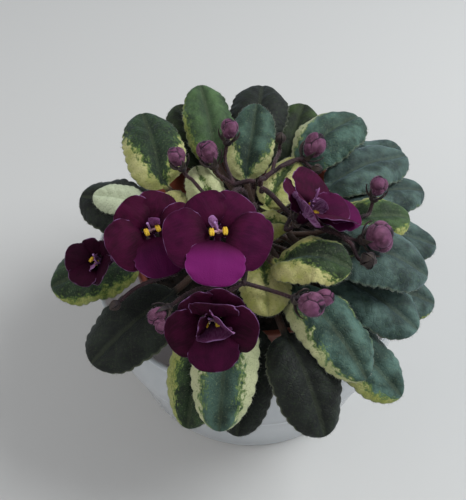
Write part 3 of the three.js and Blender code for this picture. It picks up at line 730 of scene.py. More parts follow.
# Each leaf's own cream, where it differs. lean is how much more of it lies to the right of the way the leaf
# points, base how much more towards the petiole, and more how much in all. white is how pale it is, or below
# 0 how green. cool is how far the green turns a lighter blue-green, partly the leaf's own tint and partly a
# painted bluish sheen of the sky; below 0 it is how yellow the green is.
LEAF_PATTERNS = {
    1: {"lean": -0.6, "more": -0.38, "white": -0.7},
    3: {"lean": 0.6, "more": -0.12, "white": -0.55, "cool": -0.15},
    4: {"lean": 0.6, "more": -0.22, "white": -0.5, "cool": 0.9},
    5: {"lean": 0.4},
    8: {"cool": -0.6},
    9: {"cool": -0.35},
    15: {"more": 0.6, "white": 1},
    16: {"cool": 0.3},
    18: {"base": 0.6, "more": 0.14, "white": 0.6, "cool": 0.6},
    19: {"base": 0.5, "more": 0.18, "white": -0.45, "cool": -0.3},
    20: {"lean": -0.8, "base": 0.9, "more": -0.3, "white": -0.75},
    21: {"lean": -0.3, "base": 1.5, "more": -0.1, "white": 0.1},
    22: {"more": -0.3},
    23: {"lean": 0.5, "base": 0.4, "more": -0.2, "white": 0.4, "cool": 0.8},
    24: {"lean": -0.8, "base": 0.4, "more": -0.25, "white": 0.5, "cool": 0.7},
    25: {"more": 0.3},
    26: {"lean": -0.3, "base": 1.9, "more": -0.2, "white": 0.25, "cool": 0.5},
    27: {"more": 0.2},
    28: {"base": -0.6, "more": 0.2},
    29: {"lean": 0.1, "base": 1.35, "more": 0.14, "cool": -0.35},
    30: {"lean": -0.3, "more": 0.2, "white": 0.5},
    31: {"more": 0.05, "white": 0.1},
    32: {"more": 0.12, "white": -0.25},
}


def leaf_finish(name, values):
    tone = LEAF_TONES[name]
    nodes = Nodes(name)
    along, across, under, chance, hair = nodes.attributes("along", "across", "under", "chance", "hair")
    lean, base, more, white, cool = nodes.attributes(*PATTERN)
    out = abs(across)
    place = nodes.place()
    ribs = values.veins * (along - SLANT * out)
    path = nodes.vector(ribs, 3.5 * across, 40 * chance)
    streaks = nodes.noise(path, 2.6, 4.0, 0.62)
    patches = nodes.noise(place, 170, 3.0, 0.55)
    flecks = nodes.noise(place, 1100, 3.0, 0.7)
    specks = nodes.noise(place, 1900, 2.0, 0.6)

    rib = nodes.math("PINGPONG", ribs, 0.5)
    side_vein = nodes.step(rib, 0.07, 0.0) * nodes.step(out, 1.0, 0.7)
    midrib = nodes.step(out * (1.4 - along), 0.075, 0.02)
    vein = nodes.math("MAXIMUM", side_vein * 0.4, midrib)

    green = nodes.grade(patches, 0.32, 0.7, tone.deep, tone.lit)
    green = nodes.mix(nodes.step(flecks, 0.5, 0.78) * tone.fleck, green, tuple(values.fresh))
    # The light blue-green that cool mixes in: partly the leaf's own tint, partly a painted bluish sheen of
    # the sky.
    blue = nodes.grade(patches, 0.32, 0.7, (38, 62, 54), (92, 124, 114))
    green = nodes.mix(cool, green, blue)
    olive = nodes.grade(patches, 0.32, 0.7, (28, 40, 14), (66, 90, 34))
    green = nodes.mix(-1 * cool, green, olive)
    # Painted shade: darker along the midrib, where the blade folds in a V and catches less light.
    green = nodes.mix(nodes.step(out, 0.55, 0.05) * (0.35 + 0.35 * patches), green, paint(*tone.deep))
    bias = lean * 0.4 * across + base * (0.5 - along) * 0.8 + more
    mottle = nodes.noise(place, 420, 3.0, 0.6)
    broken = (streaks - 0.5) + 0.9 * (mottle - 0.5) + 0.5 * (flecks - 0.5)
    pale = nodes.step(out + bias + tone.speckle * broken, tone.low, tone.high)
    cream = nodes.mix(nodes.step(patches, 0.3, 0.7), tuple(values.cream), paint(164, 166, 84))
    cream = nodes.mix(white, cream, paint(190, 198, 166))
    lime = nodes.grade(flecks, 0.4, 0.6, (92, 116, 42), (140, 150, 70))
    cream = nodes.mix(-1 * white, cream, lime)
    fresh = nodes.mix(nodes.step(pale, 0.02, 0.35) * 0.75, green, paint(104, 128, 58))
    colour = nodes.mix(nodes.step(pale, 0.3, 0.8), fresh, cream)
    colour = nodes.mix(nodes.step(specks, 0.56, 0.78) * tone.fleck * 0.7, colour, paint(150, 164, 120))
    colour = nodes.mix(nodes.step(specks, 0.46, 0.3) * 0.4, colour, green)
    colour = nodes.mix(vein * tone.vein * 2, colour, paint(104, 114, 84))
    colour = nodes.mix(nodes.step(out, 0.955, 0.99) * 0.25, colour, paint(140, 146, 116))
    colour = nodes.mix(nodes.step(along, 0.02, -0.06), colour, paint(82, 62, 52))
    colour = nodes.mix(under * 0.75, colour, paint(98, 102, 80))
    colour = nodes.mix(hair, colour, paint(160, 164, 146))

    pile = nodes.noise(place, 2600, 2.0, 0.6)
    net = nodes.step(nodes.cells(place, 620), 0.0, 0.12)
    return nodes.finish(
        Base_Color=colour,
        Roughness=0.6 + 0.12 * patches,
        Normal=nodes.bump(0.6 * pile + 0.35 * net, 0.35, 0.7),
        Sheen_Weight=tone.sheen,
        Sheen_Roughness=0.35,
        Sheen_Tint=paint(188, 214, 232),
        Specular_IOR_Level=0.3,
    )


# ---------------------------------------------------------------- flowers


def head_frame(head):
    """A head's middle, and the directions across, upward and to where it faces."""
    azimuth, elevation = (math.radians(angle) for angle in head.faces)
    level = math.cos(elevation)
    facing = np.array([level * math.cos(azimuth), level * math.sin(azimuth), math.sin(elevation)])
    across = np.array([-math.sin(azimuth), math.cos(azimuth), 0.0])
    return polar(*head.at), np.stack([across, np.cross(facing, across), facing])


def placed(head, points):
    """Points of a head's own frame, where the head is."""
    middle, axes = head_frame(head)
    return middle + np.asarray(points, float).reshape(-1, 3) @ axes


def seat(head):
    """How far behind its middle a head's calyx begins."""
    return TUBE["depth"] * head.size + GAP if head.kind == "bloom" else GAP


def calyx_share(head):
    return 0.9 if head.kind == "bloom" else min(head.size / 3.2, 1.1)


def heads(kind):
    """The heads of one kind, numbered in the order of the sprays."""
    found = [head for spray in SPRAYS for head in spray.heads if head.kind == kind]
    return list(enumerate(found, start=1))


def ball(centre, radii, lean=0.0, rows=9, columns=14):
    """Points and faces of an ellipsoid, leaned about X."""
    turns = np.linspace(0, np.pi, rows)
    points, faces = lathe([(math.sin(turn), -math.cos(turn)) for turn in turns], columns)
    points = np.array(points) * radii
    turned = np.array(Matrix.Rotation(lean, 3, "X"))
    return points @ turned.T + centre, faces


def rod(centres, radii, sides=10):
    """Points and faces of a round rod through the centres, closed at both ends."""
    centres = np.asarray(centres, float)
    along = unit(np.gradient(centres, axis=0))
    side = np.cross(along, [0.31, 0.17, 0.93])
    side = unit(np.where(np.linalg.norm(side, axis=1, keepdims=True) > 0.1, side, np.cross(along, [1, 0, 0])))
    up = np.cross(side, along)
    turns = np.linspace(0, 2 * np.pi, sides, endpoint=False)[None, :, None]
    ring = np.cos(turns) * side[:, None] + np.sin(turns) * up[:, None]
    points = (centres[:, None] + np.broadcast_to(radii, len(centres))[:, None, None] * ring).reshape(-1, 3)
    faces = grid_faces(len(centres), sides, closed=True, flip=True)
    faces.append(tuple(range(sides)))
    faces.append(tuple(len(points) - 1 - corner for corner in range(sides)))
    return points, faces, side, up


PETAL_FULLNESS = 0.72  # below 1 the petals are broader near both ends
PETAL_ROWS, PETAL_COLUMNS = 30, 25
RUFFLE, RIPPLE = 0.5, 0.3  # rise of the broad and of the small waves of a petal's edge
FOLD_WIDTH, FOLD_DEPTH = 0.8, 0.25  # of the groove along a petal's middle
FULL_FROM = 0.5  # how far in from its rim a petal has its full thickness
WIDE_EDGE = 1.3  # how much wider the pale edge of an inner petal is


def petal_sheets(petal, order, head, thick):
    """One petal's sheets in its head's frame, its shares along and across, and how far in from its rim."""
    size, opened = head.size, math.radians(head.open)
    turned = math.radians(petal.turn + head.spin)
    outward = np.array([math.sin(turned), math.cos(turned), 0.0])
    sideways = np.array([outward[1], -outward[0], 0.0])
    length = petal.length * size
    width = petal.width * size * (0.5 + 0.5 * math.sin(opened))
    turn = np.linspace(0, np.pi, PETAL_ROWS - 2)
    share = np.concatenate([[0, 0.07], 0.14 + 0.43 * (1 - np.cos(turn))])[:, None]
    turn = np.concatenate([[0, 0], turn])[:, None]
    across = np.sin(np.linspace(-1, 1, PETAL_COLUMNS) * np.pi / 2)[None, :]
    shut = petal.lean + (head.curl[order] if order < len(PETALS) else 0)

    def spine(at):
        angle = np.radians((head.open - shut) * (0.72 + 0.28 * at))
        reach = size + length * at * np.sin(angle)
        forward = petal.layer * np.minimum(4 * at, 1) - 0.8
        rise = size * forward + length * at * np.cos(angle)
        return outward * reach[..., None] + np.array([0, 0, 1.0]) * rise[..., None]

    least = np.where(share < 0.5, size, 0.1)
    frill = 1 + 0.035 * np.sin(7 * turn + 1.7 * order) + 0.02 * np.sin(17 * turn + order)
    half = np.maximum(width / 2 * np.sin(turn) ** PETAL_FULLNESS * np.minimum(frill, 1.0), least)
    along = unit(spine(share[:, 0] + 0.02) - spine(share[:, 0] - 0.02))
    back = -np.cross(sideways, along)
    out = across**2
    ruffle = RUFFLE * out * np.sin(9 * share + 2 * order + 2 * across)
    ripple = RIPPLE * out**2 * np.sin(26 * share + 5 * order + 3 * across) * np.sin(turn)
    rise = half / width * 2 * (ruffle + ripple) + 0.1 * half * out
    rise = rise - FOLD_DEPTH * np.exp(-((across * half / FOLD_WIDTH) ** 2)) * np.sin(turn)
    middle = spine(share[:, 0])[:, None, :] + (across * half)[..., None] * sideways
    rim = np.minimum((1 - np.abs(across)) * half, (1 - share) * length) + 0 * across
    edge = np.clip(rim / FULL_FROM, 0.3, 1)
    sheets = [middle + (rise + sign * thick / 2 * edge)[..., None] * back[:, None, :] for sign in (-1, 1)]
    return sheets, np.broadcast_to(share, rim.shape), np.broadcast_to(across, rim.shape), rim


def bloom_skin(number, head, values):
    """A bloom's throat, its five petals and its inner petals."""
    size = head.size
    throat, depth = TUBE["throat"] * size, TUBE["depth"] * size
    profile = [(0, -depth), (throat * 0.5, -depth), (throat * 0.62, -0.9 * depth)]
    profile += [(throat * 0.98, -0.2 * depth), (throat, 0), (throat * 0.6, 0.12 * size), (0, 0.05 * size)]
    points, faces = lathe(profile, segments=32)
    skin = Skin()
    skin.add(placed(head, points), faces, along=0.02, rim=3.0, glow=0.1, chance=0.5)
    for order, petal in enumerate((*PETALS, *INNER_PETALS[number])):
        inner = order >= len(PETALS)
        sheets, along, across, rim = petal_sheets(petal, order, head, values.thickness / MM)
        points, faces = slab(sheets)
        skin.add(
            placed(head, points),
            faces,
            along=twice(along),
            across=twice(across),
            rim=twice(rim / (WIDE_EDGE if inner else 1)),
            under=np.repeat([0.0, 1.0], along.size),
            glow=petal.glow if inner else head.glow * petal.glow,
            pale=petal.pale,
            shade=head.shade,
            chance=0.13 * order + 0.1 * number,
        )
    return skin


def petal_finish(values):
    nodes = Nodes("violet petal")
    along, across, rim, under = nodes.attributes("along", "across", "rim", "under")
    glow, pale, shade, chance = nodes.attributes("glow", "pale", "shade", "chance")
    place = nodes.place()
    fan = nodes.vector(6.5 * across, 1.6 * along, 30 * chance)
    rays = nodes.noise(fan, 2.4, 3.0, 0.6)
    clouds = nodes.noise(place, 260, 2.0, 0.5)
    deep = nodes.mix(nodes.step(clouds, 0.3, 0.7), paint(44, 9, 25), tuple(values.petal))
    colour = nodes.mix(nodes.step(rays, 0.42, 0.72) * 0.4, deep, paint(76, 17, 52))
    # Painted light: the lower petals turn a brighter magenta, by each head's share, as if lit.
    colour = nodes.mix(glow * nodes.step(along, 0.1, 0.6) * 0.8, colour, tuple(values.glow))
    # Painted shade: darker towards the throat, deep inside the bloom.
    colour = nodes.mix(nodes.step(along, 0.4, 0.0) * 0.75, colour, paint(34, 6, 26))
    colour = nodes.mix(shade, colour, paint(24, 5, 18))
    mauve_share = nodes.math("MAXIMUM", under * 0.8, pale)
    mauve = nodes.grade(rays, 0.35, 0.65, (124, 68, 120), (176, 132, 176))
    colour = nodes.mix(mauve_share, colour, mauve)
    edge = nodes.step(rim, 0.3, 0.05) * (0.08 + 0.6 * nodes.step(clouds, 0.46, 0.62))
    colour = nodes.mix(edge, colour, tuple(values.edge))
    pile = nodes.noise(place, 3000, 2.0, 0.6)
    return nodes.finish(
        Base_Color=colour,
        Roughness=0.55 + 0.15 * clouds,
        Normal=nodes.bump(pile + 0.7 * rays, 0.2, 0.6),
        Sheen_Weight=0.04,
        Sheen_Roughness=0.3,
        Sheen_Tint=paint(200, 90, 180),
        Specular_IOR_Level=0.06,
    )


def anther_skin(head):
    """A bloom's twin anthers on their threads, and its bent style. The style value is 0 for yellow parts."""
    skin = Skin()
    foot = 0.2 * head.size + GAP
    share = head.size**0.7
    spread = 2 * share * math.sin(math.radians(head.open))
    high, radius = foot + 3.2 * share, 0.85 * share
    start = (0, 0, foot + 0.8)

    def add(shape, style):
        points, faces, *_ = shape
        skin.add(placed(head, points), faces, style=style)

    add(ball((0, 0, foot + 0.85), (0.8 * share,) * 3), 0.6)
    for side in (-1, 1):
        thread, _ = line_through([start, (side * spread * 0.9, -0.2, high)], count=6)
        add(rod(thread, 0.4, sides=8), 0.7)
        for half in (-1, 1):
            centre = (side * spread + half * 0.34 * radius, -0.3, high)
            add(ball(centre, (0.62 * radius, radius * 0.85, 1.4 * share), 1.15), 0.0)
    bend = (-0.5 * share, 1.3 * share, foot + 2.8 * share)
    end = (-0.9 * share, 2.2 * share, foot + 4.2 * share)
    thread, _ = line_through([start, bend, end], count=10)
    add(rod(thread, np.linspace(0.42, 0.28, len(thread)), sides=8), 1.0)
    add(ball(thread[-1], (0.42, 0.42, 0.3)), 1.0)
    return skin


def anther_finish():
    nodes = Nodes("anther")
    style = nodes.attribute("style")
    grain = nodes.noise(nodes.place(), 2400, 2.0, 0.6)
    colour = nodes.grade(grain, 0.35, 0.7, (206, 158, 34), (240, 208, 78))
    colour = nodes.mix(style, colour, paint(176, 132, 186))
    normal = nodes.bump(grain, 0.15, 0.6)
    return nodes.finish(Base_Color=colour, Roughness=0.8, Normal=normal, Specular_IOR_Level=0.3)


BUD_HAIRS = 160
CLOSED_HEIGHT, LAYERED_HEIGHT = 1.15, 0.85  # half a bud's height as a share of its radius
SEAM_WIDTH, SEAM_DEPTH = 0.035, 0.05  # of the seams between a bud's petals, as shares of its radius
# The second bud of a pair: its size and place as shares of the first's, and its lean in radians.
SECOND_BUD = {"radius": 0.7, "height": 0.85, "lean": 0.5, "place": (1.25, -0.3, 1.15)}


def bud_height(head):
    """Half the length of a bud; one about to open is short and wide."""
    return head.size * (LAYERED_HEIGHT if head.layered else CLOSED_HEIGHT)


def folded_bud(radius, length, twist):
    """A bud of rounded petals folded over each other: its points, faces, seams and heights.

    Each lobe is a ball, and the bud is the farthest of them in every direction.
    """
    rows, columns, lobes = 40, 72, 3
    turn = np.linspace(0, np.pi, rows)[1:-1, None]
    angle = np.linspace(0, 2 * np.pi, columns, endpoint=False)[None, :]
    flat = np.sin(turn)
    ways = np.stack([flat * np.cos(angle), flat * np.sin(angle), -np.cos(turn) + 0 * angle], axis=2)
    ways = np.vstack([ways.reshape(-1, 3), [[0, 0, -1], [0, 0, 1]]])
    centres = [(0.0, 0.0, -0.14, 0.82)]
    for i in range(lobes):
        around = 2 * math.pi * (i / lobes + twist)
        centres.append((0.3 * math.cos(around), 0.3 * math.sin(around), 0.1 + 0.1 * (i % 2), 0.7))
    centres.append((0.12, 0.1, 0.42, 0.55))
    reaches = []
    for x, y, z, size in centres:
        along = ways @ np.array([x, y, z])
        reaches.append(along + np.sqrt(along**2 - (x * x + y * y + z * z) + size**2))
    ordered = np.sort(np.array(reaches), axis=0)
    reach = ordered[-1]
    seam = np.exp(-(((reach - ordered[-2]) / SEAM_WIDTH) ** 2)) * smooth_share(-0.6, 0.2, ways[:, 2])
    reach = reach - SEAM_DEPTH * seam
    points = ways * reach[:, None] * [radius, radius, length]
    return points, capped_faces(rows - 2, columns), seam, ways[:, 2]


def bud_skin(number, head, values):
    """A bud or a pair of buds, with short hairs on the first."""
    rng = np.random.default_rng(SEEDS["bud"] + number)
    skin = Skin()
    size, tall = head.size, bud_height(head)
    points, faces, seam, high = folded_bud(size, tall, 0.13 * number)
    skin.add(placed(head, points + [0, 0, tall]), faces, seam=seam, high=high, hair=0.0)
    if head.pair:
        radius, height = size * SECOND_BUD["radius"], size * SECOND_BUD["height"]
        points, faces, seam, high = folded_bud(radius, height, 0.5)
        points = points @ np.array(Matrix.Rotation(SECOND_BUD["lean"], 3, "Y")).T
        points = points + np.array(SECOND_BUD["place"]) * [size, size, tall]
        skin.add(placed(head, points), faces, seam=seam, high=high, hair=0.0)
    turns = rng.uniform(0, 2 * np.pi, BUD_HAIRS)
    heights = rng.uniform(-0.8, 0.85, BUD_HAIRS)
    reach = np.sqrt(1 - heights**2)
    away = np.stack([reach * np.cos(turns), reach * np.sin(turns), heights], axis=1)
    roots = away * [size * 0.95, size * 0.95, tall] + [0, 0, tall]
    away, reach = away @ head_frame(head)[1], 0.5 * values.hair / MM
    hairs(skin, placed(head, roots), away, reach, HAIR_RADII["bud"], rng, seam=0.0, high=0.0, hair=1.0)
    return skin


def bud_finish():
    nodes = Nodes("bud")
    seam, high, hair = nodes.attributes("seam", "high", "hair")
    place = nodes.place()
    clouds = nodes.noise(place, 420, 3.0, 0.55)
    colour = nodes.grade(clouds, 0.3, 0.7, (78, 40, 60), (130, 80, 108))
    colour = nodes.mix(nodes.step(high, 0.2, 1.0) * 0.55, colour, paint(96, 40, 80))
    # Painted shade: near-black in the creases where the folded petals meet, along the seams and over the tip.
    colour = nodes.mix(nodes.step(seam, 0.1, 0.75) * 0.92, colour, paint(26, 8, 22))
    colour = nodes.mix(nodes.step(high + 0.25 * clouds, 1.0, 1.08), colour, paint(22, 8, 20))
    colour = nodes.mix(hair, colour, paint(190, 160, 178))
    return nodes.finish(
        Base_Color=colour,
        Roughness=0.62 + 0.1 * clouds,
        Normal=nodes.bump(nodes.noise(place, 2600, 2.0, 0.6), 0.25, 0.7),
        Sheen_Weight=0.3,
        Sheen_Roughness=0.4,
        Sheen_Tint=paint(222, 180, 220),
        Specular_IOR_Level=0.3,
    )


# ---------------------------------------------------------------- stalks and crown


HAIRS_PER_MM = 10
SKY = 200  # a height above the whole plant
PROBES = ((0, 0), (0.5, 0), (-0.5, 0), (0, 0.5), (0, -0.5))  # where a leaf is felt for round a place
HELD = 0.3  # the last share of a pedicel keeps its place, so that it meets its calyx


class Ground:
    """The highest of the part's leaves over any place of the plan."""

    def __init__(self):
        points, faces = [], []
        for number in range(1, LEAF_COUNT + 1):
            mesh = frame["nodes"][leaf_name(number)].data
            start = len(points)
            points += [vertex.co / MM for vertex in mesh.vertices]
            faces += [[start + corner for corner in face.vertices] for face in mesh.polygons]
        self.tree = BVHTree.FromPolygons(points, faces)

    def under(self, x, y):
        highest = -math.inf
        for dx, dy in PROBES:
            hit = self.tree.ray_cast(Vector((x + dx, y + dy, SKY)), Vector((0, 0, -1)))[0]
            if hit:
                highest = max(highest, hit.z)
        return highest

    def lift(self, places, at, radius, held):
        """How far each place of a stalk is bent up to clear the leaves, as in the part."""
        length = at[-1]
        spots, needs = [], []
        for point, distance in zip(places[1:], at[1:]):
            if held and distance > (1 - HELD) * length:
                break
            near = [self.under(point[0] + off, point[1]) for off in (-radius, 0, radius)]
            near += [self.under(point[0], point[1] + off) for off in (-radius, radius)]
            need = max(near) + 1.2 * radius + STALK["clear"] - point[2]
            if need > 0:
                spots.append(distance)
                needs.append(need)
        if not needs:
            return np.zeros(len(at))
        ease = np.exp(-(((at[:, None] - np.array(spots)) / STALK["ease"]) ** 2))
        lift = (np.array(needs) * ease).max(axis=1)
        if held:
            lift = lift * np.clip(np.minimum(at / 3, (length - at) / (HELD * length)), 0, 1)
        return lift


SEPAL_ROOM = 0.7  # how far a bud's sepals stand out from it
SEPAL_HALF = 0.22  # half a sepal's thickness along its middle
BLOOM_SEPALS = {"length": 5, "bend": 66}  # of a bloom of size 1, in millimetres and degrees
SEPAL_ROWS, SEPAL_COLUMNS = 12, 7


def sepal_fan(head):
    """The calyx of one head in its own frame: pointed sepals on a small cup."""
    back, share = -seat(head), calyx_share(head)
    radius, depth = CALYX["radius"] * share, CALYX["depth"] * share
    profile = [(0, back - depth), (radius * 0.5, back - depth), (radius * 0.85, back - 1.5 * share)]
    profile += [(radius, back - 0.9), (radius * 0.8, back - 0.1), (0, back)]
    shapes = [lathe(profile, segments=20)]
    t = np.linspace(0, 1, SEPAL_ROWS)[:, None]
    across = np.linspace(-1, 1, SEPAL_COLUMNS)[None, :]
    taper = (1 - t) ** 0.75 * (0.75 + 0.5 * np.sin(np.pi * t))
    if head.kind == "young":
        reach = head.size * (0.92 * np.sin(np.pi * (0.14 + 0.86 * t)) ** 0.8)
        rise = back - 0.6 + (2 * head.size + 0.6) * t
        half = 0.62 * head.size * np.sin(np.pi * (0.2 + 0.8 * t)) ** 0.7
    elif head.kind == "bud":
        reach = radius * 0.8 + (head.size + SEPAL_ROOM - radius * 0.8) * np.sin(np.pi / 2 * t) ** 0.9
        rise = back - 0.4 + (0.8 * bud_height(head) + 0.7) * t**1.15
        half = 0.85 * share * taper + 0.04
    else:
        length, bend = BLOOM_SEPALS["length"], math.radians(BLOOM_SEPALS["bend"]) * (1.05 - 0.25 * t)
        reach = radius * 0.85 + length * head.size * t * np.sin(bend)
        rise = back - 0.6 + length * head.size * t * np.cos(bend)
        half = 0.95 * share * taper + 0.04
    for i in range(CALYX["sepals"]):
        angle = 2 * math.pi * i / CALYX["sepals"]
        away = np.array([math.cos(angle), math.sin(angle), 0])
        side = np.array([-math.sin(angle), math.cos(angle), 0])
        middle = reach[..., None] * away + rise[..., None] * np.array([0, 0, 1.0])
        up = np.cross(side, unit(np.gradient(middle[:, 0], axis=0)))
        spread = middle + (across * half)[..., None] * side
        cup, thick = 0.25 * half * across**2, SEPAL_HALF * (1 - 0.6 * across**2)
        shapes.append(slab([spread + (cup + sign * thick)[..., None] * up[:, None] for sign in (1, -1)]))
    return shapes


def stalk_skin(number, spray, ground, crown_top, values):
    """A flower stalk, its pedicels and calyces, with its hairs."""
    rng = np.random.default_rng(SEEDS["stalk"] + number)
    skin = Skin()
    foot = polar(spray.root, STALK["root"], crown_top + GAP)
    fork = polar(*spray.fork)
    bend = foot + 0.35 * (fork - foot)
    bend[2] = max(fork[2], foot[2] + 5)
    main, at = line_through([foot, bend, fork], count=60, first=[0, 0, 1])
    main[:, 2] += ground.lift(main, at, STALK["foot"], held=False)
    rods = [(main, np.linspace(STALK["foot"], STALK["fork"], len(main)))]
    for head in spray.heads:
        middle, axes = head_frame(head)
        end = middle - axes[2] * (seat(head) + CALYX["depth"] * calyx_share(head) * 0.6)
        before = end - axes[2] * (0.25 * np.linalg.norm(end - main[-1]) + 1)
        line, at = line_through([main[-2], before, end], count=40)
        line[:, 2] += ground.lift(line, at, STALK["pedicel"], held=True)
        rods.append((line, np.linspace(STALK["pedicel"] * 1.15, STALK["pedicel"], len(line))))
        for points, faces in sepal_fan(head):
            skin.add(placed(head, points), faces, sepal=1.0, hair=0.0)
    for line, radii in rods:
        points, faces, side, up = rod(line, radii)
        skin.add(points, faces, sepal=0.0, hair=0.0)
        count = int(HAIRS_PER_MM * distances_along(line)[-1])
        picks = rng.integers(0, len(line) - 1, count)
        turns = rng.uniform(0, 2 * np.pi, count)[:, None]
        away = np.cos(turns) * side[picks] + np.sin(turns) * up[picks]
        between = rng.uniform(size=count)[:, None]
        roots = line[picks] * (1 - between) + line[picks + 1] * between + away * radii[picks][:, None] * 0.9
        hairs(skin, roots, away, values.hair / MM, HAIR_RADII["stalk"], rng, sepal=0.0, hair=1.0)
    return skin


def stalk_finish():
    nodes = Nodes("flower stalk")
    sepal, hair = nodes.attributes("sepal", "hair")
    place = nodes.place()
    clouds = nodes.noise(place, 320, 3.0, 0.55)
    stem = nodes.grade(clouds, 0.3, 0.7, (34, 20, 26), (62, 34, 40))
    colour = nodes.mix(sepal, stem, nodes.grade(clouds, 0.35, 0.65, (38, 30, 34), (66, 54, 48)))
    colour = nodes.mix(hair, colour, paint(150, 132, 134))
    return nodes.finish(
        Base_Color=colour,
        Roughness=0.6 + 0.1 * clouds,
        Normal=nodes.bump(nodes.noise(place, 2400, 2.0, 0.6), 0.2, 0.7),
        Sheen_Weight=0.2,
        Sheen_Roughness=0.4,
        Sheen_Tint=paint(220, 205, 205),
        Specular_IOR_Level=0.35,
    )


def crown_skin():
    """The crown: a knotty stem that narrows above the soil."""
    low, high = corners("crown")
    radius, top = high[0], high[2]
    profile = [(0, low[2]), (radius * 0.96, low[2]), (radius * 0.98, SOIL_TOP)]
    for t in np.linspace(0.1, 1, 14):
        profile.append((radius * (0.92 - 0.4 * t), SOIL_TOP + (top - SOIL_TOP - 2.5) * t))
    profile += [(radius * 0.34, top - 0.7), (0, top)]
    points, faces = lathe(profile, segments=40)
    points = np.array(points)
    x, y, z = points.T
    knots = np.sin(3 * np.arctan2(y, x) + 0.7 * z) * np.sin(0.9 * z)
    points[:, :2] *= (1 - 0.05 * (1 + knots))[:, None]
    skin = Skin()
    skin.add(points, faces)
    return skin, top


def crown_finish():
    nodes = Nodes("crown stem")
    bark = nodes.noise(nodes.place(), 380, 4.0, 0.65)
    colour = nodes.grade(bark, 0.3, 0.7, (70, 62, 40), (120, 108, 70))
    return nodes.finish(Base_Color=colour, Roughness=0.8, Normal=nodes.bump(bark, 0.8, 0.8))


# ---------------------------------------------------------------- pot, soil and cup


LIP = 9  # height of the pot's lip band
DRAINS = {"count": 5, "reach": 20, "radius": 3}
CROWN_HOLE, SOIL_FOOT = 7.4, 29.8  # radii of the hole for the crown, and of the soil's underside
CRUMBS = 220
CLOD_RISE, GRAIN_RISE = 0.48, 0.22  # of the peat's uneven top
FLUTES = {"depth": 0.07, "low": 1.6, "high": 33.5}  # inside the cup, between two heights


def pot_skin(values):
    """The pot without its drain holes: the taper, the lip band and the rim, with small rounds."""
    low, high = corners("pot")
    foot, rim, reach = low[2], high[2], high[0]
    lip = rim - LIP
    outer = [
        (0, foot + 0.6), (26, foot + 0.6), (27, foot), (31.4, foot), (31.9, foot + 0.4), (32.1, foot + 1.2),
        (42.0, lip - 1.6), (42.5, lip - 1.1), (reach - 1.1, lip - 0.2), (reach - 0.8, lip + 0.3),
        (reach - 0.05, rim - 1.2), (reach, rim - 0.8), (reach - 0.15, rim - 0.3), (reach - 0.6, rim),
    ]
    inner = [
        (reach - 1.5, rim), (reach - 1.9, rim - 0.4), (reach - 2.1, rim - 1.2), (41.4, lip - 0.2),
        (41.1, lip - 1.0), (30.8, foot + 2.2), (30.2, foot + 1.6), (0, foot + 1.6),
    ]
    skin = Skin()
    skin.add(*lathe([*outer, *inner], values.smooth))
    return skin, foot


def drill(obj, holes):
    """Cuts round upright holes through a piece, each given by its place, its radius and its two heights."""
    cutters = Skin()
    for (x, y), radius, low, high in holes:
        points, faces = lathe([(0, low), (radius, low), (radius, high), (0, high)], segments=32)
        cutters.add(np.array(points) + [x, y, 0], faces)
    cutter = added("holes", cutters.mesh("holes"))
    cut = obj.modifiers.new("holes", "BOOLEAN")
    cut.object, cut.operation, cut.solver = cutter, "DIFFERENCE", "EXACT"
    bpy.context.view_layer.update()
    solid = bpy.data.meshes.new_from_object(obj.evaluated_get(bpy.context.evaluated_depsgraph_get()))
    obj.modifiers.clear()
    obj.data = solid
    bpy.data.objects.remove(cutter)


def pot_finish(values):
    nodes = Nodes("terracotta plastic")
    place = nodes.place()
    clouds = nodes.noise(place, 45, 3.0, 0.6)
    specks = nodes.noise(place, 700, 2.0, 0.6)
    colour = nodes.mix(nodes.step(clouds, 0.3, 0.75), tuple(values.clay), paint(148, 78, 56))
    colour = nodes.mix(nodes.step(specks, 0.62, 0.75) * 0.25, colour, paint(96, 50, 40))
    normal = nodes.bump(specks, 0.1, 0.4)
    return nodes.finish(Base_Color=colour, Roughness=0.42 + 0.15 * clouds, Normal=normal)


def soil_skin():
    """Damp peat: a crumbly top round the crown over the plain side, with loose crumbs."""
    low, high = corners("soil")
    rng = np.random.default_rng(SEEDS["soil"])
    reach, segments = high[0], 140
    radii = np.linspace(CROWN_HOLE, reach - 1.0, 60)[:, None]
    angles = np.linspace(0, 2 * np.pi, segments, endpoint=False)
    x, y = radii * np.cos(angles), radii * np.sin(angles)
    clods = CLOD_RISE * (np.sin(0.9 * x + 1.7) * np.sin(1.1 * y + 0.4) + 0.6 * np.sin(0.43 * x - 0.61 * y))
    grains = GRAIN_RISE * np.sin(3.1 * x + 2 * np.sin(1.9 * y)) * np.sin(2.7 * y + 1.3 * np.sin(2.3 * x))
    top = np.stack([x, y, SOIL_TOP - 0.2 + clods + grains], axis=2).reshape(-1, 3)

    def ring(radius, height):
        return [(radius * math.cos(angle), radius * math.sin(angle), height) for angle in angles]

    inner = ring(CROWN_HOLE - 0.1, SOIL_TOP - 0.5)
    side = ring(reach - 0.3, SOIL_TOP - 4)
    points = np.vstack([inner, top, side, ring(SOIL_FOOT, low[2]), ring(CROWN_HOLE, low[2]), inner])
    skin = Skin()
    skin.add(points, grid_faces(len(points) // segments, segments, closed=True, flip=True))
    for _ in range(CRUMBS):
        place = polar(rng.uniform(0, 360), math.sqrt(rng.uniform(9**2, (reach - 3) ** 2)), SOIL_TOP + 0.3)
        size = rng.uniform(0.4, 1.1, 3)
        points, faces = ball(place, size, rng.uniform(0, 3), rows=5, columns=7)
        skin.add(points + rng.normal(0, 0.08, points.shape), faces)
    return skin


def soil_finish():
    nodes = Nodes("peat soil")
    crumbs = nodes.noise(nodes.place(), 420, 4.0, 0.7)
    colour = nodes.grade(crumbs, 0.3, 0.75, (14, 12, 10), (52, 42, 34))
    return nodes.finish(Base_Color=colour, Roughness=0.95, Normal=nodes.bump(crumbs, 0.9, 1.0))


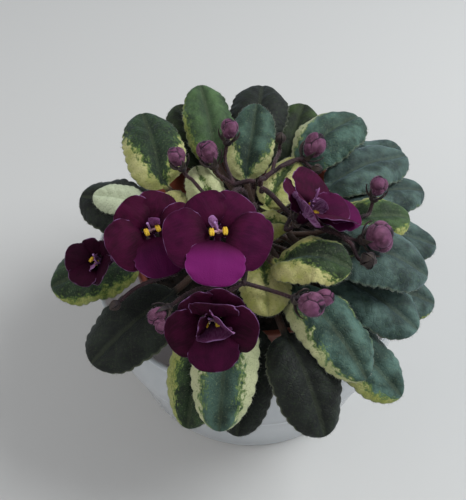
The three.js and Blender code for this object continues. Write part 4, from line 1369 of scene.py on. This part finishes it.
def cup_skin(values):
    """The cup: a turned wall with small rounds, and faint upright flutes inside its lower part."""
    _, high = corners("cup")
    reach, top = high[0], high[2]
    segments = values.smooth * 3
    foot = [(48.2, 0.1), (49.4, 0), (50.0, 0.3), (50.4, 1.5), (50.75, 3.3), (53.4, 17)]
    step = [
        (reach - 3.15, 31.0), (reach - 2.9, 32.6), (reach - 1.9, 33.3), (reach - 1.25, 34.2),
        (reach - 1.2, 35.6),
    ]
    rim = [
        (reach - 0.8, top - 4.4), (reach - 0.75, top - 2.9), (reach - 0.15, top - 2.1), (reach, top - 1.6),
        (reach, top - 0.6), (reach - 0.5, top - 0.05), (reach - 1.1, top), (reach - 1.55, top - 0.4),
    ]
    outside = [(0, 0.8), (47.4, 0.8), *foot, *step, *rim]
    inside = [(reach - 2.1, 34.8), (reach - 2.8, 34.0), (reach - 3.7, 33.1)]
    inside += [(52.4, 17), (49.3, 1.9), (48.6, 1.4), (0, 1.3)]
    profile = [*outside, *inside]
    points, faces = lathe(profile, segments)
    points = np.array(points)
    x, y, z = points.T
    inner = np.arange(len(points)) >= (len(outside) - 1) * segments
    fluted = inner & (z < FLUTES["high"]) & (z > FLUTES["low"])
    wave = np.cos(values.flutes * np.arctan2(y, x))
    depth = np.where(fluted, FLUTES["depth"] * (1 + wave), 0)
    points[:, :2] *= (1 + depth / np.maximum(np.hypot(x, y), 1))[:, None]
    # The thicker rings of the foot, the step and the rim; the finish draws them more opaque, partly for the
    # thicker plastic and partly as a painted highlight along these lines.
    bright = {*foot[:4], *step[1:4], *rim[1:]}
    edge = np.repeat([float(spot in bright) for spot in profile[1:-1]], segments)
    skin = Skin()
    skin.add(points, faces, edge=np.append(edge, [0, 0]))
    return skin


def cup_finish(values):
    nodes = Nodes("clear cup")
    place, edge = nodes.place(), nodes.attribute("edge")
    haze = nodes.noise(place, 60, 3.0, 0.6)
    facing = nodes.add("ShaderNodeLayerWeight", inputs={"Blend": 0.35}, output="Facing")
    # edge makes those rings more opaque and a little greyer: thicker plastic, and in part a painted
    # highlight.
    return nodes.finish(
        Base_Color=nodes.mix(edge * 0.6, tuple(values.milk), paint(226, 232, 236)),
        Roughness=0.08 + 0.12 * haze,
        Alpha=0.22 + 0.12 * haze + 0.5 * facing + 0.3 * edge,
        IOR=1.5,
    )


# ---------------------------------------------------------------- operators


class VIOLET_OT_pot(bpy.types.Operator):
    """Adds the nursery pot with its rim and drain holes"""

    bl_idname = "violet.pot"
    bl_label = "Pot"
    bl_options = {"REGISTER", "UNDO"}

    def execute(self, context):
        values = settings("pot")
        skin, foot = pot_skin(values)
        pot = skin.piece("nursery_pot", "pot", pot_finish(values))
        count = DRAINS["count"]
        places = [polar(360 * i / count, DRAINS["reach"], 0)[:2] for i in range(count)]
        drill(pot, [(place, DRAINS["radius"], foot - 1, foot + 3) for place in places])
        return {"FINISHED"}


class VIOLET_OT_soil(bpy.types.Operator):
    """Adds the crumbly peat in the pot"""

    bl_idname = "violet.soil"
    bl_label = "Soil"
    bl_options = {"REGISTER", "UNDO"}

    def execute(self, context):
        soil_skin().piece("peat", "soil", soil_finish())
        return {"FINISHED"}


class VIOLET_OT_cup(bpy.types.Operator):
    """Adds the clear cup that the pot stands in"""

    bl_idname = "violet.cup"
    bl_label = "Cup"
    bl_options = {"REGISTER", "UNDO"}

    def execute(self, context):
        values = settings("pot")
        cup_skin(values).piece("outer_cup", "cup", cup_finish(values))
        return {"FINISHED"}


class VIOLET_OT_leaves(bpy.types.Operator):
    """Adds the rosette of fine leaves"""

    bl_idname = "violet.leaves"
    bl_label = "Leaves"
    bl_options = {"REGISTER", "UNDO"}

    def execute(self, context):
        values = settings("leaves")
        finishes = {name: leaf_finish(name, values) for name in LEAF_TONES}
        for number in range(1, LEAF_COUNT + 1):
            node = leaf_name(number)
            leaf_skin(number, values).piece("fine_" + node, node, finishes[slot_of(node)])
        return {"FINISHED"}


class VIOLET_OT_stalks(bpy.types.Operator):
    """Adds the crown, and the hairy flower stalks with their calyces"""

    bl_idname = "violet.stalks"
    bl_label = "Crown and stalks"
    bl_options = {"REGISTER", "UNDO"}

    def execute(self, context):
        values = settings("flowers")
        skin, top = crown_skin()
        skin.piece("crown_stem", "crown", crown_finish())
        ground, finish = Ground(), stalk_finish()
        for number, spray in enumerate(SPRAYS, start=1):
            node = f"stalk_{number}"
            stalk_skin(number, spray, ground, top, values).piece("hairy_" + node, node, finish)
        return {"FINISHED"}


class VIOLET_OT_blooms(bpy.types.Operator):
    """Adds the petals and the anthers of the open flowers"""

    bl_idname = "violet.blooms"
    bl_label = "Blooms"
    bl_options = {"REGISTER", "UNDO"}

    def execute(self, context):
        values = settings("flowers")
        petal, anther = petal_finish(values), anther_finish()
        for number, head in heads("bloom"):
            for kind, skin, finish in (
                ("bloom", bloom_skin(number, head, values), petal),
                ("anthers", anther_skin(head), anther),
            ):
                node = f"{kind}_{number}"
                skin.piece("fine_" + node, node, finish)
        return {"FINISHED"}


class VIOLET_OT_buds(bpy.types.Operator):
    """Adds the folded buds"""

    bl_idname = "violet.buds"
    bl_label = "Buds"
    bl_options = {"REGISTER", "UNDO"}

    def execute(self, context):
        values, finish = settings("flowers"), bud_finish()
        for number, head in heads("bud"):
            node = f"bud_{number}"
            bud_skin(number, head, values).piece("folded_" + node, node, finish)
        return {"FINISHED"}


CAMERA = {"lens": 46.8, "sensor": 36, "place": (-0.0075, -0.160, 0.2488), "tilt": 40.6}  # metres and degrees
AIM = Vector((0, 0, 0.07))


def add_lamp(name, place, size, power, colour):
    """A round soft light that looks at the middle of the plant."""
    lamp = bpy.data.lights.new(name, "AREA")
    lamp.shape, lamp.size, lamp.energy, lamp.color = "DISK", size, power, colour
    obj = added(name, lamp)
    obj.location = place
    obj.rotation_euler = (AIM - Vector(place)).to_track_quat("-Z", "Y").to_euler()


class VIOLET_OT_stage(bpy.types.Operator):
    """Adds the floor, the soft light and the camera"""

    bl_idname = "violet.stage"
    bl_label = "Stage"
    bl_options = {"REGISTER", "UNDO"}

    def execute(self, context):
        values = settings("stage")
        scene = context.scene
        half, below = 1.5, -0.02 * MM
        mesh = bpy.data.meshes.new("floor")
        corner_places = [(-half, -half), (half, -half), (half, half), (-half, half)]
        mesh.from_pydata([(x, y, below) for x, y in corner_places], [], [(0, 1, 2, 3)])
        mesh.materials.append(Nodes("pale floor").finish(Base_Color=tuple(values.floor), Roughness=0.8))
        added("floor", mesh)

        add_lamp("window", (0.56, 0.08, 0.7), 0.5, values.key, (0.93, 0.97, 1.0))
        add_lamp("room", (-0.7, -0.25, 0.7), 0.7, values.key * 0.3, (1.0, 0.96, 0.91))
        world = bpy.data.worlds.new("soft room")
        world.use_nodes = True
        background = world.node_tree.nodes["Background"]
        background.inputs["Color"].default_value = (0.86, 0.9, 0.96, 1)
        background.inputs["Strength"].default_value = values.fill
        scene.world = world
        scene.view_settings.view_transform = "Standard"

        data = bpy.data.cameras.new("camera")
        data.lens, data.sensor_width = CAMERA["lens"], CAMERA["sensor"]
        camera = added("camera", data)
        camera.location = CAMERA["place"]
        camera.rotation_euler = (math.radians(CAMERA["tilt"]), 0, 0)
        scene.camera = camera
        return {"FINISHED"}


class VIOLET_PT_panel(bpy.types.Panel):
    """Lists the plant's pieces in the 3D view's sidebar"""

    bl_idname = "VIOLET_PT_panel"
    bl_label = "Potted African Violet"
    bl_space_type = "VIEW_3D"
    bl_region_type = "UI"
    bl_category = "Violet"

    def draw(self, context):
        for name, group in SETTINGS.items():
            box = self.layout.box()
            box.label(text=name.capitalize())
            values = settings(name)
            for value in group.__annotations__:
                box.prop(values, value)
        for operator in OPERATORS:
            self.layout.operator(operator.bl_idname)


SETTINGS = {"leaves": LeafSettings, "flowers": FlowerSettings, "pot": PotSettings, "stage": StageSettings}
OPERATORS = (
    VIOLET_OT_cup,
    VIOLET_OT_pot,
    VIOLET_OT_soil,
    VIOLET_OT_leaves,
    VIOLET_OT_stalks,
    VIOLET_OT_blooms,
    VIOLET_OT_buds,
    VIOLET_OT_stage,
)


def register():
    for group in (*SETTINGS.values(), *OPERATORS, VIOLET_PT_panel):
        bpy.utils.register_class(group)
    for name, group in SETTINGS.items():
        setattr(bpy.types.Scene, "violet_" + name, PointerProperty(type=group))


def unregister():
    for name in SETTINGS:
        delattr(bpy.types.Scene, "violet_" + name)
    for group in (VIOLET_PT_panel, *reversed(OPERATORS), *reversed(SETTINGS.values())):
        bpy.utils.unregister_class(group)


def main():
    register()
    for operator in OPERATORS:
        name = operator.bl_idname.split(".")[1]
        getattr(bpy.ops.violet, name)()
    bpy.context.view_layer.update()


if __name__ == "__main__":
    main()
